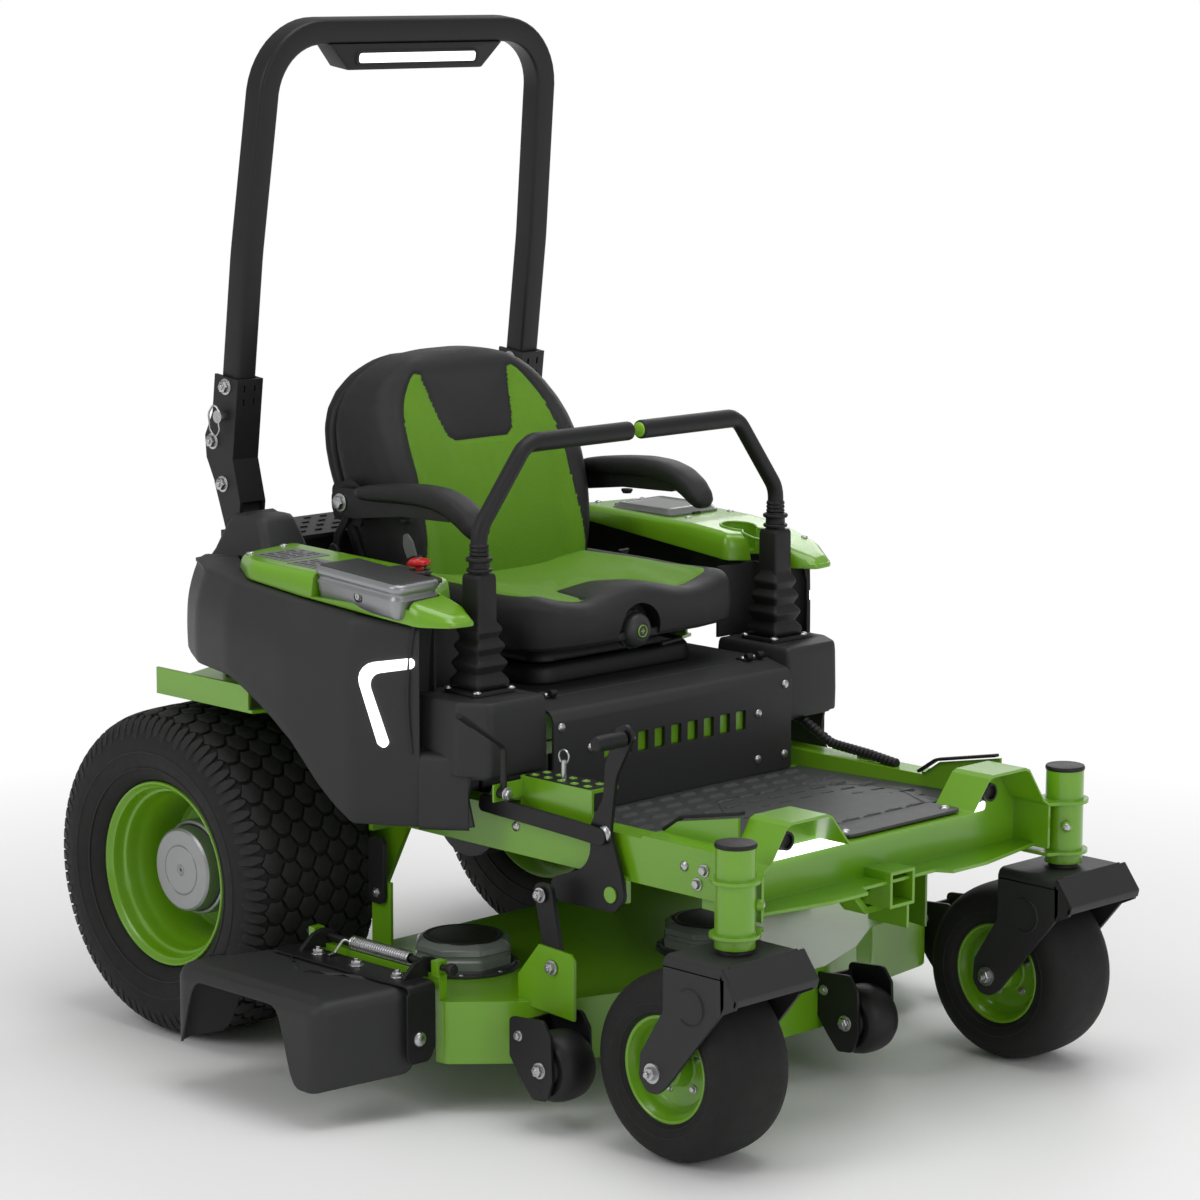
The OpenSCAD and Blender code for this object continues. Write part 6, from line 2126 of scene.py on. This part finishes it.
def frame_fittings():
    shape = Shape()
    for side in (-1, 1):
        arch_fittings(shape, side)
    # foot button
    shape.add(lathe([(0, 478), (24, 478), (24.5, 481), (22, 484), (17, 485), (17, 490),
                     (15.5, 492.5), (11, 493.6), (0, 493.8)], (-200, -1010, 1), "z", 32))
    # corrugated conduit along the left rail
    conduit = fillet([(362, -640, 560), (362, -690, 548), (360, -760, 516), (352, -860, 512),
                      (346, -930, 506)], 60, 10)
    shape.add(pipe(resample(conduit, 2.6), (1, 0, 0),
                   lambda i, point: 9.4 if i % 4 < 2 else 7.9, 14))
    for side in (-1, 1):
        roll_bar_fittings(shape, side)
    return shape


make("frame_fittings", frame_fittings(), ["soft_black", "bare_metal", "green_paint"], "chassis",
     replaces="frame_hardware", slot="soft_black", angle=35)


# ---------------------------------------------------------------- lift pedal, bar, lock lever
def lift_pedal():
    shape = Shape()
    outline = rounded([
        (-1000, 672, 14), (-985, 692, 12), (-960, 686, 12), (-953, 660, 20), (-934, 620, 60),
        (-930, 560, 60), (-897, 505, 40), (-904, 440, 50), (-806, 402, 14), (-806, 372, 14),
        (-830, 364, 20), (-958, 368, 18), (-982, 395, 20), (-971, 440, 60), (-946, 500, 60),
        (-960, 600, 80)], 7)
    shape.add(prism(outline, -403, -395, "yz"))
    peg, right = (-403, -980, 668), (-1, 0, 0)
    shape.add(cylinder(8, 0, 66, peg, right, 18))
    ribs = []
    for i in range(14):
        ribs += [(14.2, 7 + 4 * i), (12.8, 9 + 4 * i)]
    shape.add(lathe([(0, 4), (13, 4)] + ribs + [(13, 66), (11, 68.5), (0, 69)], peg, right, 24),
              "soft_black")
    bolt(shape, (-395, -980, 668), (1, 0, 0), 7, "bare_metal")
    screw(shape, (-403.6, -935, 500), right, 8, "bare_metal")
    return shape


def lift_bar():
    shape = Shape()
    outline = rounded([(-944, 479, 14), (-944, 509, 14), (-860, 514, 20), (-640, 523, 10),
                       (-636, 493, 10), (-860, 484, 20)], 6)
    shape.add(prism(outline, -413, -406, "yz"))
    return shape


def lock_lever():
    shape = Shape()
    handle = fillet([(-440, -729, 537), (-440, -729, 622), (-541, -729, 689)], [16], 7)
    shape.add(sweep(handle, bar(6, 13, 2), up=(0, 1, 0)))
    shape.add(cylinder(9, -30, 0, (-440, -736, 541), (0, -1, 0), 20))
    shape.add(sweep([(-508, -729, 667), (-543, -729, 690)], bar(9, 16, 3), up=(0, 1, 0)),
              "soft_black")
    bolt(shape, (-440, -738, 541), (0, -1, 0), 6, "bare_metal")
    return shape


def height_selector():
    """Dotted pad with a pin and its ring."""
    shape = Shape()
    shape.add(prism(rounded_box(-382, -325, -880, -716, 8), 562, 563.6))
    for i in range(5):
        for j in range(2):
            shape.add(lathe([(0, 563.4), (7.6, 563.4), (7.6, 564.6), (5.6, 565.2), (5.2, 563.8),
                             (0, 563.8)], (-371 + 28 * j, -862 + 32 * i, 0), "z", 20),
                      "green_paint")
    shape.add(lathe([(0, 0), (5, 0), (5, 40), (0, 42)], (-357, -790, 556), "z", 16),
              "bare_metal")
    ring = [(-357, -790 + 12 * math.sin(t), 590 + 12 * (1 - math.cos(t)))
            for t in np.linspace(0, 2 * math.pi, 24)]
    shape.add(rod(ring, 1.7, 8), "bare_metal")
    return shape


LINKAGE_MATS = ["black_paint", "soft_black", "bare_metal"]
make("lift_pedal_lever", lift_pedal(), LINKAGE_MATS, "rocker", replaces="lift_rocker",
     angle=33, bevel=1.0)
make("lift_bar_link", lift_bar(), "black_paint", "link_bar", replaces="lift_bar", angle=33,
     bevel=1.0)
make("lock_lever_handle", lock_lever(), LINKAGE_MATS, "lock", replaces="lock_lever", angle=33,
     bevel=0.8)
make("height_selector_pad", height_selector(), ["soft_black", "green_paint", "bare_metal"],
     "chassis", slot="soft_black", angle=33)

# ---------------------------------------------------------------- CAD pieces
# material -> CAD pieces; {s} stands for both sides
NODE_MATERIALS = {
    "green_paint": "main_frame console_{s} rear_rim_{s} caster_rim_{s} deck_shell",
    "charcoal_plastic": "seat_plate knee_panel side_cowl_{s} rear_cover chute",
    "black_paint": "foot_plate rops_posts rops_hoop lever_base_{s} lever_tube_{s} "
                   "seat_suspension deck_brackets lift_rocker lift_bar lock_lever",
    "silver_plastic": "control_housing",
    "red_plastic": "stop_button",
    "clear_plastic": "storage_lid",
    "black_plastic": "rops_light seat_shell seat_knob roller_r roller_m roller_l",
    "light_lens": "led_strips",
    "soft_black": "frame_hardware lever_boot_{s}",
    "bare_metal": "deck_hardware wheel_hub_{s} caster_axle_{s} blade_r blade_m blade_l",
    "battery_grey": "battery_pack",
    "motor_grey": "drive_motors deck_motors",
    "tyre_black": "rear_tyre_{s} caster_tyre_{s}",
    "fork_paint": "caster_fork_{s}",
    "seat_black": "seat_cushion back_cushion armrest_{s}",
}
for mat, names in NODE_MATERIALS.items():
    for name in sorted({name.format(s=s) for name in names.split() for s in "rl"}):
        mesh = NODES[name].data
        mesh.materials.clear()
        mesh.materials.append(MATERIALS[mat])
        mesh.set_sharp_from_angle(angle=math.radians(30))


# ---------------------------------------------------------------- floor and world
def fade_to_white(mat, near=1.1, far=2.6):
    """Blends a material into white light between two distances from the origin, in metres."""
    tree = mat.node_tree
    new, link = tree.nodes.new, tree.links.new
    out = next(n for n in tree.nodes if n.type == "OUTPUT_MATERIAL")
    shader = next(n for n in tree.nodes if n.type == "BSDF_PRINCIPLED")
    white = new("ShaderNodeEmission")
    white.inputs[0].default_value = (1, 1, 1, 1)
    distance = new("ShaderNodeVectorMath")
    distance.operation = "LENGTH"
    fade = new("ShaderNodeMapRange")
    fade.inputs[1].default_value = near
    fade.inputs[2].default_value = far
    blend = new("ShaderNodeMixShader")
    link(new("ShaderNodeTexCoord").outputs["Object"], distance.inputs[0])
    link(distance.outputs["Value"], fade.inputs[0])
    link(fade.outputs[0], blend.inputs[0])
    link(shader.outputs[0], blend.inputs[1])
    link(white.outputs[0], blend.inputs[2])
    link(blend.outputs[0], out.inputs[0])


floor_shape = Shape()
floor_shape.add(prism([(-9000, -9000), (9000, -9000), (9000, 9000), (-9000, 9000)], -20, 0))
floor_white = material("floor_white", (0.93, 0.93, 0.93), rough=0.6, bump=0.0001,
                       bump_scale=200, edge=0.0)
make("studio_floor", floor_shape, "floor_white", None, slot="silver_plastic")
fade_to_white(floor_white)


def studio_world(seen=1.0, lighting=0.42):
    """White for the camera, dimmer white as light."""
    world = bpy.data.worlds.new("studio")
    scene.world = world
    world.use_nodes = True
    tree = world.node_tree
    tree.nodes.clear()
    new, link = tree.nodes.new, tree.links.new
    blend = new("ShaderNodeMixShader")
    link(new("ShaderNodeLightPath").outputs["Is Camera Ray"], blend.inputs[0])
    for socket, strength in ((1, lighting), (2, seen)):
        background = new("ShaderNodeBackground")
        background.inputs[0].default_value = (1, 1, 1, 1)
        background.inputs[1].default_value = strength
        link(background.outputs[0], blend.inputs[socket])
    link(blend.outputs[0], new("ShaderNodeOutputWorld").inputs[0])


studio_world()


# ---------------------------------------------------------------- lights and camera, metres
def area(name, place, target, width, power, height):
    light = bpy.data.lights.new(name, "AREA")
    light.energy = power
    light.size = width
    light.shape = "RECTANGLE"
    light.size_y = height
    ob = bpy.data.objects.new(name, light)
    scene.collection.objects.link(ob)
    ob.location = place
    aim = Vector(target) - Vector(place)
    ob.rotation_euler = aim.to_track_quat("-Z", "Y").to_euler()


area("key_top", (0.3, -0.6, 5.2), (0.0, -0.1, 0.4), width=3.4, power=105, height=3.4)
area("key_right", (-4.6, 0.6, 3.4), (0, 0, 0.6), width=2.2, power=55, height=2.6)
area("fill_front", (-0.6, -6.2, 2.6), (0, 0, 0.5), width=3.2, power=50, height=2.2)
area("rim_left", (4.4, 2.4, 3.0), (0, 0, 0.7), width=2.4, power=35, height=2.0)


def add_camera(place, turn, lift_angle, roll, lens):
    """A camera by its place, its angles in degrees and its focal length in millimetres."""
    turn, lift_angle, roll = map(math.radians, (turn, lift_angle, roll))
    back = Vector((math.sin(turn) * math.cos(lift_angle), -math.cos(turn) * math.cos(lift_angle),
                   math.sin(lift_angle)))
    level = Vector((math.cos(turn), math.sin(turn), 0))
    rise = level.cross(-back)
    right = level * math.cos(roll) + rise * math.sin(roll)
    up = -level * math.sin(roll) + rise * math.cos(roll)
    data = bpy.data.cameras.new("photo_camera")
    data.sensor_width = 36.0
    data.lens = lens
    data.clip_end = 60
    camera = bpy.data.objects.new("photo_camera", data)
    scene.collection.objects.link(camera)
    pose = Matrix((right, up, back)).transposed().to_4x4()
    pose.translation = Vector(place)
    camera.matrix_world = pose
    scene.camera = camera


add_camera(place=(-4.66729442, -4.75233197, 1.93827957), turn=-44.8672339,
           lift_angle=9.67412034, roll=0.17527591, lens=113.08209)
scene.view_settings.view_transform = "Standard"
scene.view_settings.look = "None"
scene.view_settings.exposure = 0.0

bpy.context.view_layer.update()
